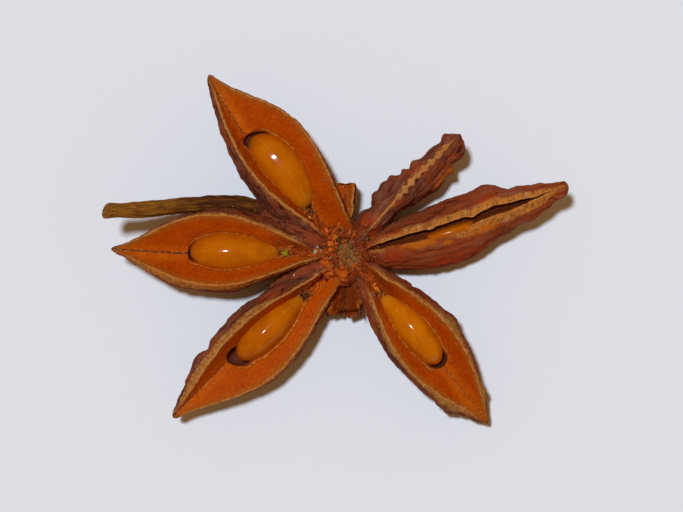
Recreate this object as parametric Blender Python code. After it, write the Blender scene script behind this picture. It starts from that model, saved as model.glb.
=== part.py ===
"""Star anise pod: a dried, woody star of eight follicles round one core.

Five follicles have opened like boats and hold a seed each, one is still closed,
two have broken off short, and the stalk grows out sideways from under the core.
The husk is one solid and each seed is a solid of its own.

Frame: +X runs along the longest way across the star, +Z is up, and the origin is
the middle of the floor under it. Driving dimensions are in millimetres and degrees.
"""

import math
from dataclasses import dataclass

import bmesh
import bpy
from mathutils import Matrix, Vector

MM = 0.001

# Husk, common to every follicle
RIM_CROWN = 7.0           # highest part of an open rim above the floor
RIM_AT_CORE = 5.2         # rim height where the follicles meet
CROWN_PLACE = 0.45        # where the rim is highest, as a share of the length
LIP = 0.35                # thickness of the husk along its rim
KEEL_HALF = 0.3           # half-width of the flat strip that a keel rests on
KEEL_AT_CORE = 1.8        # keel height where the follicles meet
KEEL_DOWN = 0.28          # share of the length where the keel reaches the floor
KEEL_UP = 0.52            # share of the length where it leaves the floor again
RIM_FALL = 2.2            # how late a rim leaves its crown for the beak
CREASE_SLOPE = 1.05       # depth of the inner crease for each mm of half-width
POCKET_END = 0.66         # share of the length where the seed pocket ends
BEAK_HEIGHT = 0.5         # height of the blunt point of a beak
WALL_SHOULDER = 0.3       # how far below the rim a wall is fullest, as a share of its height
WALL_BILGE = 0.12         # how far above the keel it is fullest, as a share of its height
WRINKLE = 0.12            # how far the outer walls swell and sink along their length
WRINKLE_PITCH = 4.6       # distance from one swelling to the next
START = 0.9               # distance from the centre at which a follicle begins
STATION_STEP = 1.25       # distance between sections along a follicle
WALL_STEPS = 6            # points down each outer wall of a section
SEED_GAP = 0.36           # free space between a seed and its pocket
MOUTH_STRETCH = 2.2       # how far the pocket is drawn out upwards past the seed
SEED_PITCH = 7.0          # how far a seed's outer end is tipped up, in degrees

# Core and stalk
CORE_RADIUS = 2.0
CORE_BOTTOM = 1.3
CORE_TOP = 5.0
PIT_RADIUS = 1.15
PIT_DEPTH = 0.8
STALK_RADIUS = 0.7
STALK_END_FLARE = 1.12
STALK_ROUTE = (
    (-20.8, 3.75, 9.2), (-17.3, 3.9, 7.7), (-13.8, 4.3, 6.0), (-10.7, 4.5, 4.5),
    (-7.8, 4.1, 3.2), (-5.4, 2.9, 2.4), (-2.5, 1.1, 2.0), (0.0, 0.0, 2.0),
)


@dataclass
class Follicle:
    """One arm of the star, drawn along its own axis: s outwards, t to the left."""

    name: str
    heading: float            # direction of the axis, anticlockwise from +X
    length: float             # centre of the star to the beak
    left: float               # greatest distance from the axis to the left rim
    right: float
    bulge_left: float         # greatest distance from the axis to the left outer wall
    bulge_right: float
    throat_left: float = 0.1  # share of `left` that is kept at the core
    throat_right: float = 0.1
    peak: float = 0.55        # where it is widest, as a share of the length
    rim_taper: float = 1.25   # how fast the rims close towards the beak
    wall_throat: float = 0.34 # share of its greatest bulge that a wall keeps at the core
    blunt: float = 0.14       # half-width of the beak's end
    crown_left: float = RIM_CROWN
    crown_right: float = RIM_CROWN
    beak: float = 2.0         # height of the beak above the floor
    crease: float = 0.0       # sideways place of the crease at the pocket's end
    crease_slope: float = CREASE_SLOPE
    keel_lift: float = 0.0    # how far the whole keel stays above the floor
    cut: float = 1.0          # share of the length at which a broken arm stops


@dataclass
class Seed:
    """A seed on edge in its pocket, placed along its follicle's axis."""

    name: str
    along: float
    aside: float
    length: float
    width: float
    height: float
    middle: float             # height of its middle above the floor
    turn: float = 0.0         # turn in plan from the follicle's axis
    covered: bool = False     # the lips close over the pocket


FOLLICLES = (
    Follicle("a", 128.1, 19.8, 2.3, 3.85, 3.2, 3.6, 0.15, 0.58, peak=0.52,
             crown_left=7.4, crown_right=6.9, beak=5.8, crease=0.75),
    Follicle("b", 178.8, 20.6, 3.05, 3.6, 3.5, 3.2, 0.05, 0.0, peak=0.56,
             crown_left=7.3, crown_right=7.1, beak=6.8, crease=0.3),
    Follicle("c", -136.9, 21.0, 3.4, 1.9, 3.1, 2.8, 0.35, 0.1, peak=0.55,
             crown_left=5.8, crown_right=7.4, beak=4.1, crease=-0.3),
    Follicle("d", -50.1, 19.5, 2.9, 2.4, 3.55, 2.85, 0.22, 0.03, peak=0.55,
             crown_left=7.0, crown_right=6.6, beak=2.8, crease=0.2),
    Follicle("e", 17.5, 20.2, 0.15, 1.7, 2.1, 3.75, 0.0, 0.2, peak=0.42, rim_taper=3.5,
             wall_throat=0.45, blunt=0.22, crown_left=7.3, crown_right=7.0, beak=7.0, crease=-0.35,
             crease_slope=2.4),
    Follicle("f", 47.0, 14.4, 0.5, 0.0, 1.5, 1.4, 0.6, 0.0, peak=0.5, wall_throat=0.6,
             blunt=0.6, crown_left=6.7, crown_right=6.7, beak=6.6, crease=0.3, crease_slope=-1.0,
             keel_lift=0.9),
    Follicle("g", 92.0, 17.0, 1.4, 1.0, 1.5, 1.1, 0.5, 0.4, peak=0.6,
             crown_left=5.2, crown_right=5.4, crease_slope=0.9, keel_lift=1.0, cut=0.38),
    Follicle("h", 268.0, 17.0, 1.9, 2.2, 2.0, 2.3, 0.4, 0.4, peak=0.6,
             crown_left=4.2, crown_right=4.0, crease_slope=0.9, keel_lift=1.0, cut=0.31),
)

SEEDS = {
    "a": Seed("seed_a", 9.15, 0.05, 7.8, 3.4, 4.4, 4.5, turn=-4.0),
    "b": Seed("seed_b", 9.8, -0.05, 8.1, 3.2, 4.3, 4.5, turn=1.2),
    "c": Seed("seed_c", 9.2, 0.3, 7.8, 3.0, 4.3, 4.25, turn=2.5),
    "d": Seed("seed_d", 8.6, 0.0, 7.7, 2.9, 4.3, 4.35, turn=0.8),
    "e": Seed("seed_e", 8.0, -0.75, 6.9, 2.9, 3.8, 3.8, turn=0.5, covered=True),
}


def clear_scene():
    """Remove whatever the open file holds."""
    for item in list(bpy.data.objects):
        bpy.data.objects.remove(item, do_unlink=True)


def new_collection(name):
    """A fresh collection under the scene."""
    group = bpy.data.collections.new(name)
    bpy.context.scene.collection.children.link(group)
    return group


def new_material(name, colour, roughness):
    """A plain Principled material."""
    made = bpy.data.materials.new(name)
    made.use_nodes = True
    shader = made.node_tree.nodes["Principled BSDF"]
    shader.inputs["Base Color"].default_value = (*colour, 1.0)
    shader.inputs["Roughness"].default_value = roughness
    shader.inputs["Metallic"].default_value = 0.0
    return made


def outline_share(x, throat, peak, taper=1.25):
    """Share of the greatest half-width at the share x of the length."""
    if x < peak:
        return throat + (1.0 - throat) * math.sin(0.5 * math.pi * x / peak) ** 2
    y = (x - peak) / (1.0 - peak)
    return max(0.0, 1.0 - y ** 2.1) ** taper


def rim_height(x, crown, beak):
    """Height of a rim: it arches up from the core and runs down to the beak."""
    if x < CROWN_PLACE:
        rise = math.sin(0.5 * math.pi * x / CROWN_PLACE)
        return RIM_AT_CORE + (crown - RIM_AT_CORE) * rise
    y = (x - CROWN_PLACE) / (1.0 - CROWN_PLACE)
    return crown + (beak - crown) * y ** RIM_FALL


def keel_height(x, arm):
    """Height of the keel: off the floor at the core and at the beak."""
    lowest = arm.keel_lift
    if x < KEEL_DOWN:
        near = (KEEL_DOWN - x) / KEEL_DOWN
        return lowest + (KEEL_AT_CORE - lowest) * near ** 2
    if x > KEEL_UP:
        y = (x - KEEL_UP) / (1.0 - KEEL_UP)
        return lowest + (arm.beak - BEAK_HEIGHT - lowest) * y ** 2
    return lowest


def crease_place(x, arm):
    """Sideways place of the crease, a straight run each way from the pocket's end."""
    return arm.crease * min(x / POCKET_END, (1.0 - x) / (1.0 - POCKET_END))


def wall_curve(rim_t, rim_z, bulge, side, keel_z):
    """Points down an outer wall, from the rim to the edge of the keel's flat."""
    foot = side * KEEL_HALF * min(1.0, abs(bulge) / 1.2)
    tall = rim_z - keel_z
    handle = (bulge - 0.125 * (rim_t + foot)) / 0.75
    corners = ((rim_t, rim_z), (handle, rim_z - WALL_SHOULDER * tall),
               (handle, keel_z + WALL_BILGE * tall), (foot, keel_z))
    points = []
    for step in range(WALL_STEPS + 1):
        u = step / WALL_STEPS
        weights = ((1 - u) ** 3, 3 * u * (1 - u) ** 2, 3 * u * u * (1 - u), u ** 3)
        points.append(tuple(sum(w * c[k] for w, c in zip(weights, corners)) for k in (0, 1)))
    return points


def follicle_section(x, arm):
    """One closed section across a follicle, as (t, z) points."""
    blunt = arm.blunt * x
    left = arm.left * outline_share(x, arm.throat_left, arm.peak, arm.rim_taper) + blunt
    right = -arm.right * outline_share(x, arm.throat_right, arm.peak, arm.rim_taper) - blunt
    wall = outline_share(x, arm.wall_throat, arm.peak)
    swell = WRINKLE * wall * math.sin(2 * math.pi * x * arm.length / WRINKLE_PITCH)
    left_z = rim_height(x, arm.crown_left, arm.beak)
    right_z = rim_height(x, arm.crown_right, arm.beak)
    keel_z = keel_height(x, arm)
    bulge_left = arm.bulge_left * wall + blunt + swell
    bulge_right = -arm.bulge_right * wall - blunt + swell
    outer_left = wall_curve(left, left_z, bulge_left, 1, keel_z)
    outer_right = wall_curve(right, right_z, bulge_right, -1, keel_z)

    lip = min(LIP, 0.3 * (left - right))
    crease_t = crease_place(x, arm)
    crease_t = min(max(crease_t, right + 1.2 * lip), left - 1.2 * lip)
    crease_z = 0.5 * (left_z + right_z) - arm.crease_slope * 0.5 * (left - right - 2 * lip)
    crease_z = max(crease_z, keel_z + 0.45 * BEAK_HEIGHT)
    inner_left = (left - lip, left_z - 0.1 * lip)
    inner_right = (right + lip, right_z - 0.1 * lip)
    crease = (crease_t, crease_z)

    def between(a, b, share):
        return tuple(p + (q - p) * share for p, q in zip(a, b))

    trough = [inner_right, between(inner_right, crease, 0.5), crease,
              between(crease, inner_left, 0.5), inner_left]
    return outer_left + outer_right[::-1] + trough


def follicle_mesh(arm):
    """Loft the sections of one follicle into a closed body, in metres."""
    turn = Matrix.Rotation(math.radians(arm.heading), 4, "Z")
    first = START / arm.length
    stations = math.ceil(arm.cut * arm.length / STATION_STEP)
    shape = bmesh.new()
    rings = []
    for step in range(stations + 1):
        x = first + (arm.cut - first) * step / stations
        ring = []
        for t, z in follicle_section(x, arm):
            ring.append(shape.verts.new(turn @ Vector((x * arm.length, t, z)) * MM))
        rings.append(ring)
    count = len(rings[0])
    for near, far in zip(rings, rings[1:]):
        for i in range(count):
            j = (i + 1) % count
            shape.faces.new((near[i], near[j], far[j], far[i]))
    shape.faces.new(rings[0])
    shape.faces.new(rings[-1])
    bmesh.ops.recalc_face_normals(shape, faces=shape.faces)
    bmesh.ops.triangulate(shape, faces=shape.faces)
    mesh = bpy.data.meshes.new("follicle_" + arm.name)
    shape.to_mesh(mesh)
    shape.free()
    return mesh


def ellipsoid_mesh(name, length, width, height, stretch=1.0, segments=16, rings=10):
    """A sphere scaled to the given sizes; its upper half is drawn out by `stretch`."""
    shape = bmesh.new()
    bmesh.ops.create_uvsphere(shape, u_segments=segments, v_segments=rings, radius=0.5)
    for vert in shape.verts:
        vert.co.z, vert.co.x = -vert.co.x, vert.co.z
    bmesh.ops.recalc_face_normals(shape, faces=shape.faces)
    bmesh.ops.scale(shape, verts=shape.verts, vec=Vector((length, width, height)) * MM)
    for vert in shape.verts:
        if vert.co.z > 0.0:
            vert.co.z *= stretch
    bmesh.ops.triangulate(shape, faces=shape.faces)
    mesh = bpy.data.meshes.new(name)
    shape.to_mesh(mesh)
    shape.free()
    return mesh


def place_seed(item, seed, arm):
    """Put a seed, or its pocket, at its place along the follicle."""
    axis = math.radians(arm.heading)
    item.location = Vector((
        seed.along * math.cos(axis) - seed.aside * math.sin(axis),
        seed.along * math.sin(axis) + seed.aside * math.cos(axis),
        seed.middle)) * MM
    item.rotation_euler = (0.0, -math.radians(SEED_PITCH), axis + math.radians(seed.turn))


def add_object(name, mesh, group, parent, material=None):
    """Wrap a mesh in an object inside a collection."""
    item = bpy.data.objects.new(name, mesh)
    group.objects.link(item)
    item.parent = parent
    if material:
        mesh.materials.append(material)
    return item


def add_tool(name, mesh, group, parent):
    """A hidden shape that is joined to the husk or cut from it."""
    item = add_object(name, mesh, group, parent)
    item.hide_render = True
    item.display_type = "WIRE"
    return item


def combine(target, tool, operation):
    """Join a tool to the target, or cut it away, with an exact Boolean."""
    step = target.modifiers.new(tool.name, "BOOLEAN")
    step.operation = operation
    step.solver = "EXACT"
    step.object = tool


def core_mesh():
    """The column that the follicles meet round: a drum, narrower below."""
    shape = bmesh.new()
    bmesh.ops.create_cone(shape, cap_ends=True, segments=24, radius1=0.75 * CORE_RADIUS * MM,
                          radius2=CORE_RADIUS * MM, depth=(CORE_TOP - CORE_BOTTOM) * MM)
    middle = 0.5 * (CORE_TOP + CORE_BOTTOM) * MM
    bmesh.ops.translate(shape, verts=shape.verts, vec=(0.0, 0.0, middle))
    mesh = bpy.data.meshes.new("core")
    shape.to_mesh(mesh)
    shape.free()
    return mesh


def stalk_mesh(group):
    """The stalk as a bevelled curve, made a closed mesh."""
    curve = bpy.data.curves.new("stalk_route", "CURVE")
    curve.dimensions = "3D"
    curve.bevel_depth = STALK_RADIUS * MM
    curve.bevel_resolution = 3
    curve.use_fill_caps = True
    curve.resolution_u = 3
    line = curve.splines.new("BEZIER")
    line.bezier_points.add(len(STALK_ROUTE) - 1)
    for knot, place in zip(line.bezier_points, STALK_ROUTE):
        knot.co = Vector(place) * MM
        knot.handle_left_type = knot.handle_right_type = "AUTO"
    line.bezier_points[0].radius = STALK_END_FLARE
    guide = bpy.data.objects.new("stalk_route", curve)
    group.objects.link(guide)
    bpy.context.view_layer.update()
    ready = guide.evaluated_get(bpy.context.evaluated_depsgraph_get())
    mesh = bpy.data.meshes.new_from_object(ready)
    mesh.name = "stalk"
    bpy.data.objects.remove(guide, do_unlink=True)
    shape = bmesh.new()
    shape.from_mesh(mesh)
    bmesh.ops.remove_doubles(shape, verts=shape.verts, dist=0.00001)
    bmesh.ops.recalc_face_normals(shape, faces=shape.faces)
    shape.to_mesh(mesh)
    shape.free()
    return mesh


def build_husk(parts, tools, origin, material):
    """The woody husk: core, stalk and follicles joined, pockets and pit cut out."""
    husk = add_object("pod", core_mesh(), parts, origin, material)
    combine(husk, add_tool("stalk", stalk_mesh(tools), tools, origin), "UNION")
    for arm in FOLLICLES:
        lobe = add_tool("follicle_" + arm.name, follicle_mesh(arm), tools, origin)
        combine(husk, lobe, "UNION")
    for arm in FOLLICLES:
        seed = SEEDS.get(arm.name)
        if seed is None:
            continue
        room = 2.0 * SEED_GAP
        stretch = 1.0 if seed.covered else MOUTH_STRETCH
        mesh = ellipsoid_mesh("pocket_" + arm.name, seed.length + room, seed.width + room,
                              seed.height + room, stretch)
        pocket = add_tool("pocket_" + arm.name, mesh, tools, origin)
        place_seed(pocket, seed, arm)
        combine(husk, pocket, "DIFFERENCE")
    mesh = ellipsoid_mesh("pit", 2 * PIT_RADIUS, 2 * PIT_RADIUS, 2 * PIT_DEPTH)
    pit = add_tool("pit", mesh, tools, origin)
    pit.location = (0.0, 0.0, CORE_TOP * MM)
    combine(husk, pit, "DIFFERENCE")
    return husk


def build_seeds(parts, origin, material):
    """One loose seed in each opened follicle."""
    for arm in FOLLICLES:
        seed = SEEDS.get(arm.name)
        if seed is None:
            continue
        mesh = ellipsoid_mesh(seed.name, seed.length, seed.width, seed.height)
        mesh.shade_smooth()
        item = add_object(seed.name, mesh, parts, origin, material)
        place_seed(item, seed, arm)


def centre_on_floor(husk, origin):
    """Move everything so that the middle of the husk's footprint is the origin."""
    bpy.context.view_layer.update()
    ready = husk.evaluated_get(bpy.context.evaluated_depsgraph_get())
    corners = [husk.matrix_world @ vert.co for vert in ready.data.vertices]
    low = [min(corner[k] for corner in corners) for k in range(3)]
    high = [max(corner[k] for corner in corners) for k in range(3)]
    origin.location = (-0.5 * (low[0] + high[0]), -0.5 * (low[1] + high[1]), -low[2])


def main():
    clear_scene()
    parts = new_collection("star_anise_pod")
    tools = new_collection("cutters")
    origin = bpy.data.objects.new("origin", None)
    parts.objects.link(origin)
    husk_finish = new_material("dried_husk", (0.23, 0.06, 0.02), 0.6)
    seed_finish = new_material("polished_seed", (0.45, 0.12, 0.006), 0.25)
    husk = build_husk(parts, tools, origin, husk_finish)
    build_seeds(parts, origin, seed_finish)
    centre_on_floor(husk, origin)


main()
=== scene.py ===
"""Star anise pod, lying with its opened follicles up: the finished looks.

The file is laid out as an add-on and run as a script. Sizes and colours are
properties, each group of like pieces has an operator, and a panel in the 3D
view's sidebar lists them. Sizes are in millimetres along a follicle's own axis,
and every piece is scaled to metres when its mesh is made.
"""

import math
from dataclasses import dataclass

import bmesh
import bpy
import numpy as np
from bpy.props import FloatProperty, FloatVectorProperty, IntProperty, PointerProperty
from mathutils import Euler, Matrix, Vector


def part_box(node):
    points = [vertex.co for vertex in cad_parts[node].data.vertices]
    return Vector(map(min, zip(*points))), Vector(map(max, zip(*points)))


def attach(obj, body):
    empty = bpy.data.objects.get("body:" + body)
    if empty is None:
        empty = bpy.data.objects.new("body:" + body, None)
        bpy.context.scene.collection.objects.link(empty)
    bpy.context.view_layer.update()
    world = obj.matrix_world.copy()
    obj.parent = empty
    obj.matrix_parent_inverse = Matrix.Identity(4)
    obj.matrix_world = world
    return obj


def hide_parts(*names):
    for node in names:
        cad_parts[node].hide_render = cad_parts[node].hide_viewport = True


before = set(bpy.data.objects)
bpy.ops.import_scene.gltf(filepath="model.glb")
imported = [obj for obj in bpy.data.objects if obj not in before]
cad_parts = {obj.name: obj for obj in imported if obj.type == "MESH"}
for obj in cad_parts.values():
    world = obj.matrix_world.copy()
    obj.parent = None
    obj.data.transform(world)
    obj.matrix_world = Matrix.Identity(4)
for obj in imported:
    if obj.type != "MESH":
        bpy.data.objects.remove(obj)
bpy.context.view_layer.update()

bl_info = {
    "name": "Star Anise Pod",
    "version": (1, 0, 0),
    "blender": (4, 5, 0),
    "location": "3D View > Sidebar > Star Anise",
    "description": "Models a dried star anise pod with its seeds, stalk and crumbs",
    "category": "Object",
}

MM = 0.001
BODY = "root"
HUSK_NODE = "pod"
FAR = 9.0                 # a distance mark for places that are nowhere near a feature
RANDOM = {"arm": 100, "seed": 500, "core": 71, "shoulder": 900, "stalk": 83,
          "shreds": 31, "crumbs": 41, "dust": 53}   # start of each piece's random numbers


# ---------------------------------------------------------------- shapes

@dataclass
class Follicle:
    """One arm of the star, drawn along its own axis: s outwards, t to the left.

    Pairs hold the left and the right side. An outline gives the distance from the
    axis: greatest width, share of it kept at the core, place of the widest part as a
    share of the length, how fast it closes after that, and the width at the beak."""

    name: str
    heading: float            # direction of the axis, anticlockwise from +X, degrees
    length: float             # centre of the star to the beak
    rims: tuple               # outlines of the two rims
    walls: tuple              # outlines of the two outer walls
    crowns: tuple             # highest part of each rim above the floor
    beak: float               # height of the beak above the floor
    crease: float = 0.0       # sideways place of the crease at the pocket's end
    crease_slope: float = 0.5
    cleft: float = 0.0        # least depth of the opening
    keel_lift: float = 0.0    # how far the keel stays above the floor
    cut: float = 1.0          # share of the length at which a broken arm stops
    tear: float = 0.0         # how ragged the broken end is
    lip: float = 0.14         # thickness of the rim's edge
    rag: float = 0.07         # how far the rim wanders
    wrinkle: float = 0.13     # depth of the outer wrinkles
    bands: tuple = ((0.15, 0.0), (0.15, 0.0))   # granular bands: width and start
    crests: tuple = (0.0, 0.0)   # where the pale edge of each rim starts
    flush: tuple = (0.2, 0.2) # walls: 0 purple-brown, 1 red-brown
    tint: float = 0.3         # 0 for a darker inner face, 1 for a paler one
    worn: float = 0.0         # how dull and red the inner face is
    gloom: float = 0.0        # how much painted shade darkens the inner face, as inside a slit or a broken hollow
    dusk: tuple = ()          # patches of painted shade on it: along, aside, reach, breadth, strength
    gleam: int = 0            # side of the crease with a brighter strip
    seam: float = 0.8         # how dark the crease is
    shut: float = 0.0         # share of the length where a slit has closed; 0 for never
    pocket: tuple = ()        # along, aside, length, half-width, turn; empty if none
    knobs: tuple = ()         # swellings of an outer wall: along, side, size, reach
    waves: tuple = ()         # bends of a rim: along, side, size, reach
    red: tuple = ()           # redder patches: along, side, below the rim, reach, depth
    amber: tuple = ()         # orange patches, in the same way
    peel: tuple = ()          # tan patches where the skin has peeled


FOLLICLES = (
    Follicle("a", 128.1, 19.8,
             rims=((2.12, 0.12, 0.52, 1.34, 0.04), (3.5, 0.54, 0.54, 2.08, 0.4)),
             walls=((3.1, 0.45, 0.41, 1.05, 0.1), (3.3, 0.6, 0.52, 1.6, 0.3)),
             crowns=(7.4, 6.9), beak=5.8, crease=0.75, gleam=-1, seam=0.6,
             bands=((0.12, 0.0), (0.4, 0.0)), crests=(2.5, 1.0), flush=(0.15, 0.5),
             dusk=((3.4, 0.55, 1.2, 0.14, 0.6), (2.2, -0.35, 0.7, 0.12, 0.6)),
             tint=0.4, pocket=(9.3, 0.0, 8.6, 1.84, -3.0),
             knobs=((13.3, 1, 0.1, 0.4), (11.2, 1, 0.1, 0.5), (6.6, 1, 0.1, 0.5),
                    (15.3, 1, 0.1, 0.35))),
    Follicle("b", 178.8, 20.6,
             rims=((2.9, 0.02, 0.55, 1.58, 0.22), (3.1, 0.0, 0.56, 1.8, 0.2)),
             walls=((3.2, 0.18, 0.6, 1.42, 0.22), (3.45, 0.4, 0.54, 1.7, 0.2)),
             crowns=(7.3, 7.1), beak=6.8, crease=0.3, gleam=1, seam=1.0,
             bands=((1.2, 0.0), (0.3, 0.0)), crests=(2.5, 4.2), flush=(0.9, 0.3),
             dusk=((4.8, -0.5, 1.3, 0.2, 0.8), (4.0, 0.0, 1.2, 0.2, 0.5),
                   (3.8, -0.95, 2.4, 0.6, 0.62)),
             tint=0.45, pocket=(9.85, -0.02, 8.2, 1.6, 0.5), knobs=((10.0, 1, 0.35, 1.5),),
             amber=((11.5, 1, 0.1, 4.5, 0.25),)),
    Follicle("c", -136.9, 21.0,
             rims=((3.25, 0.37, 0.53, 1.75, 0.4), (1.6, 0.06, 0.52, 1.9, 0.3)),
             walls=((3.4, 0.4, 0.52, 2.1, 0.25), (2.79, 0.42, 0.5, 0.95, 0.05)),
             crowns=(5.8, 7.4), beak=4.1, crease=-0.3, seam=0.4,
             bands=((0.25, 0.0), (0.8, 8.0)), crests=(3.5, 1.5), flush=(0.7, 0.15),
             dusk=((3.3, 0.0, 1.7, 0.16, 0.9),),
             tint=1.0, pocket=(9.6, 0.15, 9.0, 1.4, 0.5),
             knobs=((16.0, -1, 0.32, 0.8), (14.6, -1, -0.2, 0.35), (11.4, -1, 0.1, 0.5))),
    Follicle("d", -50.1, 19.5,
             rims=((2.75, 0.24, 0.52, 1.22, 0.14), (2.2, 0.0, 0.54, 1.7, 0.3)),
             walls=((3.2, 0.4, 0.5, 1.25, 0.1), (2.8, 0.46, 0.51, 0.9, 0.05)),
             crowns=(7.0, 6.6), beak=2.8, crease=0.2, gleam=-1, seam=0.15,
             bands=((0.25, 0.0), (0.35, 0.0)), crests=(0.5, 4.0), flush=(0.6, 0.2),
             dusk=((3.4, 0.75, 2.1, 0.5, 0.62), (3.6, -0.5, 1.0, 0.12, 0.6)),
             tint=0.15, pocket=(8.9, 0.12, 8.2, 1.45, 0.4),
             peel=((10.9, 1, 0.6, 2.0, 0.7), (17.0, 1, 0.3, 1.3, 0.5),
                   (15.8, -1, 0.5, 1.3, 0.5), (9.2, -1, 0.3, 1.4, 0.3)),
             knobs=((5.9, 1, -0.15, 0.25), (10.4, 1, 0.32, 0.75), (17.2, 1, 0.35, 0.6),
                    (16.4, -1, 0.55, 0.55), (15.4, -1, 0.3, 0.4), (13.9, -1, 0.1, 0.3))),
    Follicle("e", 17.5, 20.2,
             rims=((0.08, 0.6, 0.4, 1.0, 0.0), (1.02, 0.35, 0.43, 1.15, 0.0)),
             walls=((1.71, 0.75, 0.56, 2.2, 0.42), (3.35, 0.55, 0.42, 1.45, 0.8)),
             crowns=(7.3, 7.0), beak=7.0, crease=-0.15, crease_slope=1.2, cleft=1.15,
             lip=0.09, worn=0.2, gloom=0.85, shut=0.955, rag=0.06,
             bands=((0.62, 0.0), (0.75, 9.5)), crests=(0.0, 8.5), flush=(0.8, 0.95),
             waves=((5.6, 1, 0.06, 0.8), (7.6, 1, -0.16, 0.4), (8.9, 1, -0.06, 0.3),
                    (11.4, 1, -0.26, 0.45), (13.6, 1, 0.16, 0.8), (17.3, 1, -0.16, 1.2),
                    (12.6, -1, 0.1, 1.2)),
             red=((3.9, -1, 1.1, 1.2, 0.9), (4.3, 1, 0.7, 1.3, 0.35), (12.9, 1, 1.1, 1.5, 0.3),
                  (9.0, -1, 3.2, 3.0, 0.8)),
             amber=((6.4, -1, 0.2, 1.8, 0.5), (8.7, -1, 0.75, 0.5, 0.3),
                    (10.0, -1, 0.05, 2.2, 0.2), (12.3, -1, 0.9, 1.5, 0.45)),
             peel=((2.7, -1, 0.1, 0.9, 0.16),),
             knobs=((13.3, 1, 0.35, 0.9), (15.2, 1, -0.3, 0.6), (17.9, 1, 0.15, 0.5),
                    (13.0, -1, -0.6, 1.4), (15.2, -1, -0.35, 0.9))),
    Follicle("f", 47.0, 14.4,
             rims=((0.55, 0.6, 0.5, 1.0, 0.1), (0.3, 0.3, 0.5, 1.0, 0.1)),
             walls=((1.25, 0.95, 0.35, 0.9, 0.1), (1.2, 0.7, 0.6, 1.0, 0.3)),
             crowns=(6.7, 6.7), beak=6.6, crease=0.25, crease_slope=-0.8, keel_lift=0.9,
             lip=0.1, rag=0.1, wrinkle=0.17, bands=((0.0, 0.0), (0.0, 0.0)),
             flush=(0.2, 0.15), red=((3.3, 1, 1.3, 0.9, 0.6), (2.8, -1, 1.1, 0.8, 0.5)),
             amber=((10.8, -1, 2.5, 1.4, 0.7),),
             knobs=((3.4, 1, 0.3, 0.7), (4.45, 1, -0.15, 0.25), (5.4, 1, 0.6, 0.6),
                    (6.6, 1, 0.7, 0.7), (7.6, 1, 0.6, 0.45), (8.7, 1, 0.3, 0.3),
                    (9.15, 1, -0.12, 0.16), (9.9, 1, 0.28, 0.35), (12.0, 1, 0.15, 0.6),
                    (13.4, 1, 0.5, 0.45), (5.7, -1, -0.5, 1.2), (10.0, -1, 0.6, 1.5),
                    (11.6, -1, 0.55, 0.42), (12.5, -1, 0.15, 0.4), (13.35, -1, 0.85, 0.85))),
)

STUMPS = (
    Follicle("g", 92.0, 17.0,
             rims=((1.4, 0.5, 0.6, 1.25, 0.16), (1.0, 0.4, 0.6, 1.25, 0.16)),
             walls=((1.5, 0.34, 0.6, 1.25, 0.2), (1.1, 0.34, 0.6, 1.25, 0.2)),
             crowns=(5.2, 5.4), beak=2.0, crease_slope=0.9, keel_lift=1.0, cut=0.36,
             tear=0.3, lip=0.2, rag=0.12, wrinkle=0.12, worn=0.3,
             bands=((0.1, 0.0), (0.5, 0.0)), flush=(0.8, 0.8)),
    Follicle("h", 268.0, 17.0,
             rims=((1.9, 0.4, 0.6, 1.25, 0.16), (2.2, 0.4, 0.6, 1.25, 0.16)),
             walls=((2.0, 0.34, 0.6, 1.25, 0.2), (2.3, 0.34, 0.6, 1.25, 0.2)),
             crowns=(4.2, 4.0), beak=2.0, crease_slope=1.2, keel_lift=1.0, cut=0.3,
             tear=0.7, lip=0.2, rag=0.3, wrinkle=0.2, worn=0.3, gloom=0.6,
             bands=((0.1, 0.0), (0.1, 0.0)), crests=(9.0, 9.0), flush=(0.8, 0.7)),
)


@dataclass
class Seed:
    """A seed on edge in its pocket."""

    name: str
    arm: str                  # the follicle that holds it
    along: float
    aside: float
    length: float
    width: float
    height: float
    middle: float             # height of its middle above the floor
    turn: float               # turn in plan from the follicle's axis, degrees
    roll: float               # lean about its own length, degrees
    glow: float = 0.3         # 0 for a darker coat, 1 for a brighter one
    blunt: float = 2.5        # how blunt its inner end is
    bow: float = 0.0          # how far its ends are bent aside


SEEDS = (
    Seed("seed_a", "a", 9.25, -0.2, 7.9, 3.75, 4.7, 4.7, -1.5, 7.0, 0.35, 4.0, 0.35),
    Seed("seed_b", "b", 9.8, 0.0, 8.0, 3.5, 4.7, 4.75, 0.5, 0.0, 0.4, 3.2),
    Seed("seed_c", "c", 9.25, 0.12, 7.9, 3.1, 4.6, 4.4, 0.5, 3.0, 0.3, 2.2),
    Seed("seed_d", "d", 8.6, 0.25, 7.9, 3.0, 4.6, 4.55, 0.8, 0.0, 1.0, 2.3, -0.22),
    # seed_e's coat is the darkest (glow 0): painted shade where the slit's upper lip overhangs
    # it
    Seed("seed_e", "e", 8.6, -0.9, 8.4, 1.3, 4.4, 4.83, 0.5, 0.0, 0.0),
)
SEED_PITCH = 7.0          # how far a seed's outer end is tipped up, in degrees


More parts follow.
